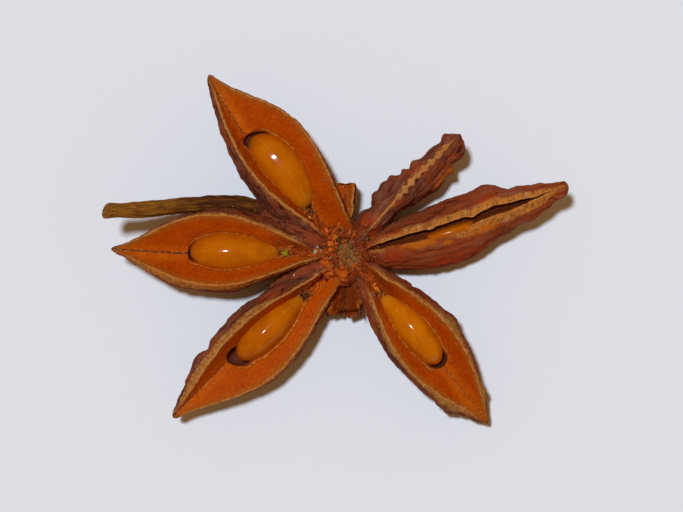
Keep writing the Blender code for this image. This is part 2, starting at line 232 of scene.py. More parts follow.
class Noise:
    """Smooth seeded noise in three dimensions, about -1 to 1."""

    def __init__(self, seed):
        draw = np.random.default_rng(seed)
        self.order = np.tile(draw.permutation(256), 3)
        slopes = draw.normal(size=(256, 3))
        self.slopes = slopes / np.linalg.norm(slopes, axis=1, keepdims=True)

    def at(self, x, y=0.0, z=0.0):
        """One value for each place."""
        place = np.stack(np.broadcast_arrays(np.asarray(x, float), y, z), -1)
        cell = np.floor(place).astype(int)
        inside = place - cell
        fade = inside ** 3 * (inside * (inside * 6 - 15) + 10)
        total = np.zeros(place.shape[:-1])
        for corner in np.ndindex(2, 2, 2):
            key = self.order[(cell[..., 0] + corner[0]) % 256]
            key = self.order[key + (cell[..., 1] + corner[1]) % 256]
            key = self.order[key + (cell[..., 2] + corner[2]) % 256]
            reach = inside - np.array(corner)
            weight = np.prod(np.where(np.array(corner) == 1, fade, 1 - fade), axis=-1)
            total += weight * np.sum(self.slopes[key] * reach, axis=-1)
        return 1.7 * total

    def folds(self, x, y=0.0, z=0.0):
        """Flat backs with narrow valleys between them, 0 to 1."""
        return np.minimum(1.0, 3.2 * np.abs(self.at(x, y, z)))


def ease(low, high, value):
    """Smooth step from 0 at low to 1 at high."""
    u = np.clip((value - low) / (high - low), 0.0, 1.0)
    return u * u * (3 - 2 * u)


def bell(value, place, reach):
    """A bell of height 1 at a place."""
    return np.exp(-((value - place) / reach) ** 2)


def turned(a, b, angle):
    """Two coordinates turned by an angle in radians."""
    return (a * math.cos(angle) - b * math.sin(angle),
            a * math.sin(angle) + b * math.cos(angle))


def arm_named(name):
    """The follicle or stump of that name."""
    return next(arm for arm in FOLLICLES + STUMPS if arm.name == name)


def outline(x, widest, throat, peak, taper, end):
    """Distance from the axis at the shares x of a follicle's length."""
    rise = throat + (1 - throat) * np.sin(0.5 * np.pi * np.clip(x / peak, 0, 1)) ** 2
    y = np.clip((x - peak) / (1 - peak), 0, 1)
    return widest * np.where(x < peak, rise, (1 - y ** 2.1) ** taper) + end * x


RIM_AT_CORE = 4.7
KEEL_AT_CORE = 1.8
CROWN_PLACE = 0.42        # where the rim is highest, as a share of the length
KEEL_DOWN = 0.28          # where the keel reaches the floor
KEEL_UP = 0.52            # where it leaves the floor again
POCKET_END = 0.66
BEAK_HEIGHT = 0.5
START = 0.9               # distance from the centre at which a follicle begins
DIP = 0.3                 # how far a face curls down beside its seed
DIP_REACH = 0.5           # and how far from the seed it starts to
SQUARE = 2.3              # roundness of a seed's section; 2 is an ellipse
TIP = 0.45                # length over which a beak is rounded off
STATION = 0.085           # distance between sections
DIAMOND = 0.42            # half a diamond's length in the closed follicle's band
DIAMONDS_START = (5.2, 7.2)
DIAMONDS_STOP = (12.8, 13.3)
FINE = {"wall": 60, "lip": 4, "face": 30, "pocket": 11}   # columns of each part


def rim_height(x, crown, beak):
    """A rim arches up from the core and runs down to the beak."""
    rise = np.sin(0.5 * np.pi * np.clip(x / CROWN_PLACE, 0, 1))
    y = np.clip((x - CROWN_PLACE) / (1 - CROWN_PLACE), 0, 1)
    return np.where(x < CROWN_PLACE, RIM_AT_CORE + (crown - RIM_AT_CORE) * rise,
                    crown + (beak - crown) * y ** 2.2)


def keel_height(x, arm):
    """The keel is off the floor at the core and at the beak."""
    low = arm.keel_lift
    near = np.clip((KEEL_DOWN - x) / KEEL_DOWN, 0, 1)
    far = np.clip((x - KEEL_UP) / (1 - KEEL_UP), 0, 1)
    return low + (KEEL_AT_CORE - low) * near ** 2 + (arm.beak - BEAK_HEIGHT - low) * far ** 2


def crease_place(x, arm):
    """Sideways place of the crease, straight each way from the pocket's end."""
    return arm.crease * np.minimum(x / POCKET_END, (1 - x) / (1 - POCKET_END))


def bezier(corners, u):
    """A cubic curve at every station: four (stations, 2) corners, u from 0 to 1."""
    a, b, c, d = (corner[:, None, :] for corner in corners)
    u = u[None, :, None]
    return a * (1 - u) ** 3 + 3 * b * u * (1 - u) ** 2 + 3 * c * u * u * (1 - u) + d * u ** 3


def outer_wall(rim_t, rim_z, bulge, side, keel_z, steps):
    """The outer wall of every section, from the rim down to the keel."""
    foot = side * 0.12 * np.minimum(1.0, np.abs(bulge) / 1.2)
    tall = rim_z - keel_z
    handle = (bulge - 0.125 * (rim_t + foot)) / 0.75
    corners = [np.stack(pair, -1) for pair in (
        (rim_t, rim_z), (handle, rim_z - 0.3 * tall),
        (handle, keel_z + 0.1 * tall), (foot, keel_z))]
    share = np.linspace(0, 1, steps) ** 1.15
    return bezier(corners, share)


def pocket_lines(s, arm):
    """Half-width, middle and depth of the seed pocket at every station.

    Past its ends the pocket runs on as a narrow crease towards the beak and as
    a channel towards the core."""
    x = s / arm.length
    crease = crease_place(x, arm)
    if not arm.pocket:
        deep = 0.12 if arm.crease_slope > 0 else 0.0
        return np.full_like(s, 0.06), crease, np.full_like(s, deep)
    along, aside, length, half, turn = arm.pocket
    reach = (s - along) / (0.5 * length)
    power = np.where(reach > 0, 2.7, 2.1)
    inside = np.clip(1 - np.abs(reach) ** power, 0, 1)
    line = aside + (s - along) * math.tan(math.radians(turn))
    outward = ease(0.65, 1.15, reach)
    inward = 1 - ease(-1.15, -0.9, reach)
    middle = line + (crease - line) * np.maximum(outward, inward)
    narrow = np.full_like(s, 0.05)
    width = np.hypot(half * np.sqrt(inside), narrow)
    depth = 2.0 * inside ** 0.4 + np.where(reach > 0, 0.12, 0.06)
    return width, middle, depth


OVERLAP = 0.1             # how far a pocket's edge lies under its seed


def seed_size(seed, reach):
    """Share of a seed's height at -1 to 1 along its length."""
    power = np.where(reach < 0, seed.blunt, 2.5)
    return np.clip(1 - np.abs(reach) ** power, 0, 1) ** (1 / 2.1)


def seed_taper(reach):
    """A seed's inner end is narrower than its outer end."""
    return 1 - 0.24 * np.clip(-reach, 0, 1)


def seed_line(seed, s):
    """Sideways place of a seed's middle line, and of the channel that leads to it."""
    out = s - seed.along
    reach = np.clip(out / (0.5 * seed.length), -1, 1)
    line = seed.aside + out * math.tan(math.radians(seed.turn)) + seed.bow * reach ** 2
    return line * ease(0, 3.5, s)


def seed_top(seed, s, t):
    """Height of a seed's upper side above a place, or 0 beside it."""
    out = s - seed.along
    reach = np.clip(out / (0.5 * seed.length), -1, 1)
    size = np.maximum(seed_size(seed, reach), 1e-6)
    across = np.abs(t - seed_line(seed, s)) / (0.5 * seed.width * size * seed_taper(reach))
    dome = np.clip(1 - across ** SQUARE, 0, 1) ** (1 / SQUARE)
    axis = seed.middle + out * math.tan(math.radians(SEED_PITCH))
    sag = 0.05 * seed.height * reach ** 2
    return np.where(across < 1, axis - sag + 0.5 * seed.height * size * dome, 0.0)


class Section:
    """Columns of a follicle's sections, gathered side by side."""

    def __init__(self):
        self.spots = []
        self.marks = {"rim": [], "pocket": [], "crease": []}

    def add(self, spots, rim, pocket=FAR, crease=FAR):
        """Put columns beside the others, with their distances from each feature."""
        self.spots.append(spots)
        shape = spots.shape[:2]
        for key, value in (("rim", rim), ("pocket", pocket), ("crease", crease)):
            self.marks[key].append(np.broadcast_to(value, shape))

    def joined(self):
        """All the columns and their marks."""
        marks = {key: np.concatenate(value, 1) for key, value in self.marks.items()}
        return np.concatenate(self.spots, 1), marks


def run_length(spots):
    """Distance travelled along the columns of every section."""
    steps = np.linalg.norm(np.diff(spots, axis=1), axis=-1)
    return np.concatenate([np.zeros((len(spots), 1)), np.cumsum(steps, 1)], 1)


def raise_diamonds(parts, crease_t, s, noise):
    """Make a closed follicle's inner parts into its raised, pale band of diamonds."""
    line = crease_t - 0.07 + 0.04 * noise.at(s * 2.1, 50.0)
    beat = s / DIAMOND + 0.8 * noise.at(s * 0.6, 52.0)
    diamond = np.abs(2 * (beat / 2 - np.floor(beat / 2)) - 1)
    wide = ease(*DIAMONDS_START, s) * (1 - ease(*DIAMONDS_STOP, s))
    breadth = 0.07 + (0.02 + 0.27 * diamond) * wide * (1 + 0.4 * noise.at(s, 54.0))
    for part in parts:
        away = np.abs(part[0][..., 0] - line[:, None])
        part[1] = np.maximum(4.0 * (away - breadth[:, None]) + 0.12, 0.04)
        part[2] = FAR
        crest = np.exp(-(away / (0.06 + breadth[:, None])) ** 2) * 0.14
        part[0] = np.stack([part[0][..., 0], part[0][..., 1] + crest], -1)


def rims_and_walls(arm, s, noise):
    """Rims and outer walls at the stations s, each held for its side, 1 or -1.

    Gives the follicle's even size, the rims' sideways places, their heights with and
    without the raggedness, and how far the walls bulge."""
    x = s / arm.length
    size = outline(x, 1.0, 0.5, 0.55, 1.0, 0.0)
    wander = arm.rag * np.sqrt(size + 0.05)
    torn = 1 + 3.0 * np.exp(-(s / 3.2) ** 2)
    rim_t, rim_z, even_z, bulge = {}, {}, {}, {}
    for side, rim, wall, crown in zip((1, -1), arm.rims, arm.walls, arm.crowns):
        rag = noise.at(s * 0.9, side * 7.3) + 0.6 * noise.at(s * 3.1, side * 3.7)
        rim_t[side] = side * (outline(x, *rim) + wander * torn * rag)
        even_z[side] = rim_height(x, crown, arm.beak)
        rim_z[side] = even_z[side] + wander * torn * (
            0.8 * noise.at(s * 0.8, side * 5.1, 2.0) + 0.7 * noise.at(s * 2.9, side * 6.1))
        swell = 0.12 * size * noise.at(s * 0.35, side * 2.2)
        swell = swell + 0.05 * noise.at(s * 1.7, side * 8.2)
        for place, knob_side, bump, width in arm.knobs:
            if knob_side == side:
                swell = swell + bump * bell(s, place, width)
        bulge[side] = side * (outline(x, *wall) + swell)
    for place, side, bend, width in arm.waves:
        rim_t[side] = rim_t[side] + bend * bell(s, place, width)
    if arm.shut:
        centre = 0.5 * (rim_t[1] + rim_t[-1])
        open_ = np.maximum(1 - ease(arm.shut - 0.07, arm.shut, x), 0.04)
        for side in (1, -1):
            rim_t[side] = centre + (rim_t[side] - centre) * open_
    return size, rim_t, rim_z, even_z, bulge


def follicle_sections(arm, s, noise):
    """Sections (t, z) of a follicle at the stations s, with distance marks."""
    x = s / arm.length
    size, rim_t, rim_z, even_z, bulge = rims_and_walls(arm, s, noise)
    keel = keel_height(x, arm)
    lip = np.minimum(arm.lip, 0.3 * (rim_t[1] - rim_t[-1]))
    half_gap = 0.5 * (rim_t[1] - rim_t[-1] - 2 * lip)
    width, middle, depth = pocket_lines(s, arm)
    crease_t = (crease_place(x, arm) + 0.06 * noise.at(s * 1.3, 60.0)
                + 0.03 * noise.at(s * 5.0, 63.0))
    crease_t = np.clip(crease_t, rim_t[-1] + 1.2 * lip, rim_t[1] - 1.2 * lip)
    drop = arm.crease_slope * half_gap
    if arm.pocket:
        drop = drop * (1.2 + 1.5 * (1 - ease(3.5, 8.0, s)))
    floor_z = 0.5 * (even_z[1] + even_z[-1]) - np.maximum(drop, arm.cleft)
    floor_z = np.maximum(floor_z, keel + 0.25 + 0.7 * size)

    out = Section()
    closed = arm.crease_slope < 0
    steps = FINE["wall"]
    left = outer_wall(rim_t[1], rim_z[1], bulge[1], 1, keel, steps)
    right = outer_wall(rim_t[-1], rim_z[-1], bulge[-1], -1, keel, steps)
    out.add(left, run_length(left))
    out.add(right[:, ::-1], run_length(right)[:, ::-1])

    start_t = {side: rim_t[side] - side * lip for side in (1, -1)}
    start_z = {side: rim_z[side] - 0.1 * lip for side in (1, -1)}
    gap = start_t[1] - start_t[-1]
    middle = np.clip(middle, start_t[-1] + 0.15 * gap, start_t[1] - 0.15 * gap)
    room = np.minimum(0.08, 0.2 * gap)

    def face_z(side, t):
        """Height of a face, which falls from its rim to the crease."""
        run = (start_t[side] - crease_t)[:, None]
        run = side * np.maximum(side * run, 0.02)
        share = np.clip((t - crease_t[:, None]) / run, 0, 1)
        hollow = (0.0 if closed else 0.06) * np.sin(np.pi * share)
        even = floor_z[:, None] + (even_z[side] - floor_z)[:, None] * (share - hollow)
        return even + (start_z[side] - even_z[side])[:, None] * share ** 4

    reach = {side: width for side in (1, -1)}
    if arm.pocket:
        seed = next(item for item in SEEDS if item.arm == arm.name)
        u = (s - seed.along) / (0.5 * seed.length)
        loose = ease(0.72, 1.0, u) + 0.45 * (1 - ease(-1.0, -0.7, u))
        out_by = np.linspace(0, 0.6 * seed.width, 90)[None]
        for side in (1, -1):
            t = middle[:, None] + side * out_by
            above = seed_top(seed, s[:, None], t) > face_z(side, t)
            contact = np.max(np.where(above, out_by, 0), axis=1)
            snug = np.clip(contact - OVERLAP, 0.05, width)
            reach[side] = snug + (width - snug) * loose
    edge = {1: np.minimum(middle + reach[1], start_t[1] - room),
            -1: np.maximum(middle - reach[-1], start_t[-1] + room)}

    seat = ease(0.15, 0.6, width)[:, None] * DIP

    def dipped(side, t):
        """A face that curls down where it meets the seed."""
        near = np.abs(t - edge[side][:, None])
        return face_z(side, t) - seat * np.exp(-(near / DIP_REACH) ** 1.5)

    edge_z = {side: dipped(side, edge[side][:, None]) for side in (1, -1)}
    bottom = 0.5 * (edge_z[1] + edge_z[-1]) - depth[:, None]

    def inner_side(side):
        """Lip, sloping face and half the pocket, from the rim inwards."""
        v = np.linspace(0, 1, FINE["lip"] + 2)[None, 1:-1]
        t = rim_t[side][:, None] - side * lip[:, None] * v
        z = rim_z[side][:, None] + lip[:, None] * (0.3 * np.sin(np.pi * v) - 0.1 * v)
        lips = [np.stack([t, z], -1), -lip[:, None] * v * 0.5, FAR, FAR]
        q = np.linspace(0, 1, FINE["face"])[None, :]
        t = start_t[side][:, None] + (edge[side] - start_t[side])[:, None] * q
        spots = np.stack([t, dipped(side, t)], -1)
        run = run_length(spots)
        faces = [spots, -lip[:, None] * 0.5 - run, run[:, -1:] - run,
                 np.abs(t - crease_t[:, None])]
        r = np.linspace(0, 1, FINE["pocket"] + 1)[None, 1:]
        r = r if side > 0 else r[:, :-1]
        t = edge[side][:, None] + (middle - edge[side])[:, None] * r
        fall = np.sqrt(1 - (1 - r) ** 2.6)
        z = edge_z[side] + (bottom - edge_z[side]) * fall
        holes = [np.stack([t, z], -1), -FAR, -np.abs(t - edge[side][:, None]),
                 np.abs(t - crease_t[:, None])]
        return [lips, faces, holes]

    sides = inner_side(-1)
    for part in inner_side(1)[::-1]:
        sides.append([item if np.isscalar(item) else item[:, ::-1] for item in part])
    if closed:
        out.marks["rim"] = [mark + 0.5 for mark in out.marks["rim"]]
        raise_diamonds(sides, crease_t, s, noise)
    for part in sides:
        out.add(*part)
    return out.joined()


def grid_normals(grid):
    """Outward normals of a grid [along, round, xyz] that closes round."""
    along = np.gradient(grid, axis=0)
    round_ = 0.5 * (np.roll(grid, -1, 1) - np.roll(grid, 1, 1))
    normal = np.cross(along, round_)
    return normal / np.maximum(np.linalg.norm(normal, axis=-1, keepdims=True), 1e-9)


def grid_mesh(name, grid, marks):
    """A closed mesh from a grid in metres, capped at both ends by fans."""
    rows, cols = grid.shape[:2]
    caps = np.stack([grid[0].mean(0), grid[-1].mean(0)])
    verts = np.concatenate([grid.reshape(-1, 3), caps])
    i, j = np.meshgrid(np.arange(rows - 1), np.arange(cols), indexing="ij")
    k = (j + 1) % cols
    quads = np.stack([i * cols + j, (i + 1) * cols + j,
                      (i + 1) * cols + k, i * cols + k], -1).reshape(-1, 4)
    j = np.arange(cols)
    k = (j + 1) % cols
    first, last = rows * cols, rows * cols + 1
    start = np.stack([np.full(cols, first), j, k], -1)
    end = np.stack([np.full(cols, last), (rows - 1) * cols + k, (rows - 1) * cols + j], -1)
    mesh = bpy.data.meshes.new(name)
    mesh.from_pydata(verts.tolist(), [], quads.tolist() + start.tolist() + end.tolist())
    for key, value in marks.items():
        value = value.reshape(rows * cols, -1)
        ends = np.stack([value[:cols].mean(0), value[-cols:].mean(0)])
        value = np.concatenate([value, ends]).astype(np.float32)
        kind = "FLOAT" if value.shape[1] == 1 else "FLOAT_VECTOR"
        layer = mesh.attributes.new(key, kind, "POINT")
        layer.data.foreach_set("value" if kind == "FLOAT" else "vector", value.ravel())
    add_map(mesh, rows, cols)
    mesh.shade_smooth()
    return mesh


MAP_MARGIN = 0.018         # room for the caps below and above the map of a grid
CAP_GAP = 0.004            # gap between a cap and the grid in the map


def add_map(mesh, rows, cols):
    """An even map for a grid mesh: round goes across, along goes up, caps at the ends."""
    layer = mesh.uv_layers.new(name="OFBake")
    j = np.arange(cols) / cols
    k = (np.arange(cols) + 1) / cols
    up = MAP_MARGIN + (1 - 2 * MAP_MARGIN) * np.arange(rows) / (rows - 1)
    low, high = up[:-1, None], up[1:, None]
    ones = np.ones((rows - 1, cols))
    quads = np.stack([
        np.stack([j * ones, low * ones], -1), np.stack([j * ones, high * ones], -1),
        np.stack([k * ones, high * ones], -1), np.stack([k * ones, low * ones], -1),
    ], 2).reshape(-1, 2)
    mid = 0.5 * (j + k)
    flat = np.zeros(cols)
    first, last = flat + up[0] - CAP_GAP, flat + up[-1] + CAP_GAP
    start = np.stack([np.stack([mid, flat], -1), np.stack([j, first], -1),
                      np.stack([k, first], -1)], 1).reshape(-1, 2)
    end = np.stack([np.stack([mid, flat + 1], -1), np.stack([k, last], -1),
                    np.stack([j, last], -1)], 1).reshape(-1, 2)
    spots = np.concatenate([quads, start, end]).astype(np.float32)
    layer.data.foreach_set("uv", spots.ravel())


FRAME_SEED = ("seed_b", "b", 9.8, -0.05)   # a CAD seed: its follicle, along and aside


def star_centre():
    """Middle of the star in plan, found from where the frame holds a seed."""
    node, arm_name, along, aside = FRAME_SEED
    low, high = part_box(node)
    there = 0.5 * (low + high)
    out = Vector(turned(along, aside, math.radians(arm_named(arm_name).heading)))
    return Vector((there.x - out.x * MM, there.y - out.y * MM))


CENTRE = star_centre()


def to_world(spots, heading=0.0):
    """From (s, t, z) millimetres along an axis to metres in the frame."""
    x, y = turned(spots[..., 0], spots[..., 1], math.radians(heading))
    return np.stack([x * MM + CENTRE.x, y * MM + CENTRE.y, spots[..., 2] * MM], -1)


def follicle_grid(arm, seed, wrinkle):
    """The relief-carved grid of a follicle in millimetres, with its marks."""
    noise = Noise(seed)
    end = arm.cut * arm.length
    s = np.linspace(START, end - TIP, int((end - TIP - START) / STATION))
    s = np.concatenate([s, end - TIP * np.cos(np.linspace(0, 0.5 * np.pi, 9)[1:])])
    flat, marks = follicle_sections(arm, s, noise)
    along = np.broadcast_to(s[:, None], flat.shape[:2])
    if arm.cut == 1:
        left = np.clip((end - s) / TIP, 0, 1)
        full = np.sqrt(1 - (1 - left) ** 2 * 0.97)[:, None, None]
        middle = flat.mean(1, keepdims=True)
        flat = middle + (flat - middle) * full
    grid = np.concatenate([along[..., None], flat], -1)
    if arm.cut < 1:
        u = np.arange(flat.shape[1]) / flat.shape[1] * 2 * np.pi
        tear = noise.at(2.2 * np.cos(u), 2.2 * np.sin(u)) + 0.5 * noise.at(
            8 * np.cos(u), 8 * np.sin(u))
        grid[..., 0] += arm.tear * tear[None, :] * ease(0.5, 1.0, along / end)
    normal = grid_normals(grid)
    t, z = grid[..., 1], grid[..., 2]
    rim, pocket = marks["rim"], marks["pocket"]
    walls = 2 * FINE["wall"]
    is_left = np.arange(flat.shape[1]) < FINE["wall"]
    is_left |= np.arange(flat.shape[1]) >= flat.shape[1] - (flat.shape[1] - walls) // 2

    def sided(left, right):
        """The left wall's value on the left and the right wall's on the right."""
        return np.where(is_left, left, right) * np.ones_like(along)

    width, start = (sided(*pair) for pair in zip(*arm.bands))
    band = width * ease(-1, 1, along - start) + 0.12
    band = band * (1 - 0.8 * ease(0.84, 0.98, along / arm.length))
    far = ease(0, 0.06, 1.03 - along / arm.length)
    slim = far * ease(START, 3.0, along)
    outside = ease(0.05, 0.5, rim)
    granular = ease(-0.02, 0.1, rim) * (1 - ease(0, 0.3, rim - band))
    inside = ease(0.02, 0.3, -rim) * ease(0.0, 0.15, pocket)

    # lengthwise folds of the dried wall, cross folds, fine fibres and grain
    bend = 0.3 * noise.at(along * 0.5, t * 0.5, z * 0.5 + 4.0)
    coarse = noise.folds(along * 0.16 + bend, t * 0.95 + bend, z * 0.95 + 1.0)
    cross = noise.folds(along * 0.8, t * 0.6, z * 0.6 + bend + 8.0)
    small = noise.folds(along * 0.3, t * 2.4 + 2 * bend, z * 2.4 + 15.0)
    fibre = noise.at(along * 0.9, t * 6.0 + 3 * bend, z * 6.0 + 18.0)
    grain = noise.at(along * 6.0, t * 6.0, z * 6.0 + 20.0)
    folds = 0.5 * coarse + 0.14 * cross + 0.26 * small + 0.1 * fibre + 0.07 * grain
    beads = noise.at(along * 5.0, t * 2.6, z * 2.6 + 30.0)
    calm = noise.at(along * 0.5, t * 0.5, z * 0.5 + 40.0) + 0.3 * noise.at(
        along * 2.0, t * 2.0, z * 2.0 + 44.0)

    def patches(places):
        """A soft patch round each place of the walls."""
        return [bell(along, place, reach) * bell(rim, below, depth)
                * (is_left == (side > 0)) for place, side, below, reach, depth in places]

    peeled = sum(patches(arm.peel))
    height = (wrinkle * arm.wrinkle * outside * (1 - 0.7 * granular) * (folds - 0.55) * 1.6
              + 0.05 * granular * beads + inside * (0.03 * calm + 0.1 * arm.worn * cross)
              + 0.18 * peeled * outside * (fibre + 0.6))
    grid = grid + normal * (height * slim)[..., None]
    marks = dict(marks)
    marks["crest"] = (ease(-1, 1, along - sided(*arm.crests))
                      * ease(1.6, 3.8, along + 2.5 * bend)
                      * (1 - 0.6 * ease(0.87, 0.97, along / arm.length)))
    marks["seat"] = np.broadcast_to(ease(0.3, 0.6, pocket_lines(s, arm)[0])[:, None], t.shape)
    for key in ("red", "amber", "peel"):
        patch = np.max([np.zeros_like(along)] + patches(getattr(arm, key)), axis=0)
        marks[key] = patch * (rim > -0.1)
    off_crease = np.sign(t - crease_place(along / arm.length, arm)) * marks["crease"]
    strip = bell(off_crease * arm.gleam, 0.4, 0.35) * abs(arm.gleam)
    ends = (ease(POCKET_END + 0.03, POCKET_END + 0.12, along / arm.length)
            * (1 - ease(0.86, 0.95, along / arm.length)))
    marks["gleam"] = strip * ends * (marks["crease"] < FAR)
    for key in ("seam", "tint"):
        marks[key] = np.full_like(along, getattr(arm, key))
    # painted shade on the inner face: all over for a slit or hollow, in patches near the core
    gloom = np.full_like(along, arm.gloom)
    for place, aside, reach, breadth, strength in arm.dusk:
        near = bell(along, place, reach) * bell(t, aside, breadth)
        gloom = np.maximum(gloom, strength * near)
    marks["gloom"] = gloom * ease(0.02, 0.3, -rim)
    marks["relief"] = np.where(outside > 0.5, folds, 0.5 + 0.5 * calm)
    marks["share"] = along / arm.length
    marks["band"] = band
    marks["flush"] = sided(*arm.flush)
    marks["worn"] = np.maximum(arm.worn, 0.9 * (1 - ease(1.3, 2.9, along + 0.8 * bend)))
    marks["place"] = np.stack([along, t, z + 12.0 * (seed % 50)], -1)
    return grid, marks


def close_cut(grid, marks):
    """Fold the outer wall of a broken end over onto its inner side."""
    outer = 2 * FINE["wall"]
    inner = grid[-1, outer:]
    pick = np.linspace(len(inner) - 1, 0, outer)
    low = np.floor(pick).astype(int)
    high = np.minimum(low + 1, len(inner) - 1)
    part = (pick - low)[:, None]
    target = inner[low] * (1 - part) + inner[high] * part
    rings = []
    for share in (0.34, 0.67, 1.0):
        ring = grid[-1].copy()
        ring[:outer] += (target - ring[:outer]) * share
        ring[:, 0] += 0.04 * math.sin(math.pi * share)
        rings.append(ring)
    grid = np.concatenate([grid, np.stack(rings)])
    full = {key: np.concatenate([value, np.repeat(value[-1:], len(rings), 0)])
            for key, value in marks.items()}
    full["rim"][-len(rings):, :outer] = 0.0
    return grid, full


def add_piece(name, mesh, material, slot, *nodes):
    """Put a piece in the scene, riding on the pod's body."""
    piece = bpy.data.objects.new(name, mesh)
    bpy.context.scene.collection.objects.link(piece)
    mesh.materials.append(material)
    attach(piece, BODY)
    if nodes:
        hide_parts(*nodes)
    return piece


def add_husk(name, mesh, material):
    """Put in a piece that stands for part of the husk."""
    return add_piece(name, mesh, material, "husk", HUSK_NODE)


# ---------------------------------------------------------------- materials

def tone(red, green, blue):
    """Linear colour from eight-bit display values."""
    def linear(value):
        value /= 255
        return value / 12.92 if value <= 0.04045 else ((value + 0.055) / 1.055) ** 2.4
    return tuple(linear(value) for value in (red, green, blue))


class Graph:
    """Short calls for building a node tree."""

    def __init__(self, tree):
        self.tree = tree

    def node(self, kind, **settings):
        """A new node with its settings."""
        made = self.tree.nodes.new(kind)
        for key, value in settings.items():
            setattr(made, key, value)
        return made

    def feed(self, socket, value):
        """Link a socket, or set a plain value."""
        if isinstance(value, bpy.types.NodeSocket):
            self.tree.links.new(value, socket)
        elif socket.type == "RGBA":
            socket.default_value = (*value, 1.0)
        else:
            socket.default_value = value

    def mark(self, name, vector=False):
        """A value stored on the mesh."""
        made = self.node("ShaderNodeAttribute", attribute_name=name)
        return made.outputs["Vector" if vector else "Fac"]

    def sum(self, operation, *values):
        """One step of arithmetic."""
        made = self.node("ShaderNodeMath", operation=operation)
        for socket, value in zip(made.inputs, values):
            self.feed(socket, value)
        return made.outputs[0]

    def step(self, value, low, high):
        """Smooth 0 to 1 as the value goes from low to high."""
        made = self.node("ShaderNodeMapRange", interpolation_type="SMOOTHSTEP")
        self.feed(made.inputs["Value"], value)
        self.feed(made.inputs["From Min"], low)
        self.feed(made.inputs["From Max"], high)
        return made.outputs["Result"]

    def near(self, value, place, far, close):
        """1 where the value is close to a place, 0 where it is far from it."""
        away = self.sum("ABSOLUTE", self.sum("SUBTRACT", value, place))
        return self.step(away, far, close)

    def blend(self, share, a, b):
        """The colour a, turning to b as the share goes from 0 to 1."""
        made = self.node("ShaderNodeMix", data_type="RGBA")
        self.feed(made.inputs[0], share)
        self.feed(made.inputs[6], a)
        self.feed(made.inputs[7], b)
        return made.outputs[2]

    def lay(self, base, colour, *masks):
        """A colour over the base, as far as all the masks allow together."""
        share = masks[0]
        for mask in masks[1:]:
            share = self.sum("MULTIPLY", share, mask)
        return self.blend(share, base, colour)

    def noise(self, place, scale, detail=3.0, rough=0.55):
        """Soft noise, about 0.5 on the whole."""
        made = self.node("ShaderNodeTexNoise")
        self.feed(made.inputs["Vector"], place)
        self.feed(made.inputs["Scale"], scale)
        made.inputs["Detail"].default_value = detail
        made.inputs["Roughness"].default_value = rough
        return made.outputs["Fac"]

    def stretch(self, place, x, y, z=1.0):
        """A place scaled by axis, which stretches the patterns that use it."""
        made = self.node("ShaderNodeVectorMath", operation="MULTIPLY")
        self.feed(made.inputs[0], place)
        made.inputs[1].default_value = (x, y, z)
        return made.outputs[0]

    def use(self, group, **values):
        """Place a node group, feed its named inputs and take its first output."""
        made = self.node("ShaderNodeGroup", node_tree=group)
        for key, value in values.items():
            self.feed(made.inputs[key], value)
        return made.outputs[0]

    def bump(self, height, distance, strength):
        """A normal with the height's relief."""
        made = self.node("ShaderNodeBump")
        made.inputs["Strength"].default_value = strength
        made.inputs["Distance"].default_value = distance
        self.feed(made.inputs["Height"], height)
        return made.outputs["Normal"]


def new_group(name, inputs, outputs):
    """An empty shader node group with named sockets."""
    tree = bpy.data.node_groups.new(name, "ShaderNodeTree")
    kinds = {"value": "NodeSocketFloat", "colour": "NodeSocketColor",
             "vector": "NodeSocketVector"}
    for label, kind in inputs:
        tree.interface.new_socket(label, in_out="INPUT", socket_type=kinds[kind])
    for label, kind in outputs:
        tree.interface.new_socket(label, in_out="OUTPUT", socket_type=kinds[kind])
    graph = Graph(tree)
    entry = graph.node("NodeGroupInput")
    exit_ = graph.node("NodeGroupOutput")
    return graph, entry.outputs, exit_.inputs


def relief_tone_group():
    """Colour of a wrinkled skin: painted shade in the valleys, a body colour, and backs lit up
    with dust and a painted sheen.
    """
    graph, get, put = new_group(
        "Relief Tone",
        [("Relief", "value"), ("Place", "vector"), ("Valley", "colour"),
         ("Body", "colour"), ("Back", "colour"), ("Flush", "colour")],
        [("Colour", "colour")])
    patch = graph.step(graph.noise(get["Place"], 0.45, 2.0), 0.42, 0.66)
    body = graph.lay(get["Body"], get["Flush"], patch)
    fine = graph.noise(get["Place"], 5.0, 4.0, 0.65)
    level = graph.sum("ADD", get["Relief"], graph.sum("MULTIPLY_ADD", fine, 0.8, -0.4))
    # painted shade where the relief is low, and dust with a painted sheen where it is high
    body = graph.lay(body, get["Valley"], graph.step(level, 0.46, 0.12), 0.85)
    body = graph.lay(body, get["Back"], graph.step(level, 0.64, 0.98), 0.5)
    graph.feed(put["Colour"], body)
    return graph.tree


def speck_group():
    """Scattered dots: 1 inside a dot."""
    graph, get, put = new_group(
        "Specks", [("Place", "vector"), ("Scale", "value"), ("Size", "value"),
                   ("Share", "value")], [("Mask", "value")])
    cells = graph.node("ShaderNodeTexVoronoi")
    graph.feed(cells.inputs["Vector"], get["Place"])
    graph.feed(cells.inputs["Scale"], get["Scale"])
    near = graph.sum("LESS_THAN", cells.outputs["Distance"], get["Size"])
    split = graph.node("ShaderNodeSeparateColor")
    graph.feed(split.inputs["Color"], cells.outputs["Color"])
    chosen = graph.sum("LESS_THAN", split.outputs["Red"], get["Share"])
    graph.feed(put["Mask"], graph.sum("MULTIPLY", near, chosen))
    return graph.tree


def uneven_group():
    """Lightens and darkens a colour in soft patches."""
    graph, get, put = new_group(
        "Uneven Tone", [("Colour", "colour"), ("Other", "colour"), ("Place", "vector"),
                        ("Scale", "value"), ("Amount", "value")], [("Colour", "colour")])
    patches = graph.step(graph.noise(get["Place"], get["Scale"], 4.0, 0.5), 0.35, 0.68)
    graph.feed(put["Colour"], graph.lay(get["Colour"], get["Other"], patches, get["Amount"]))
    return graph.tree


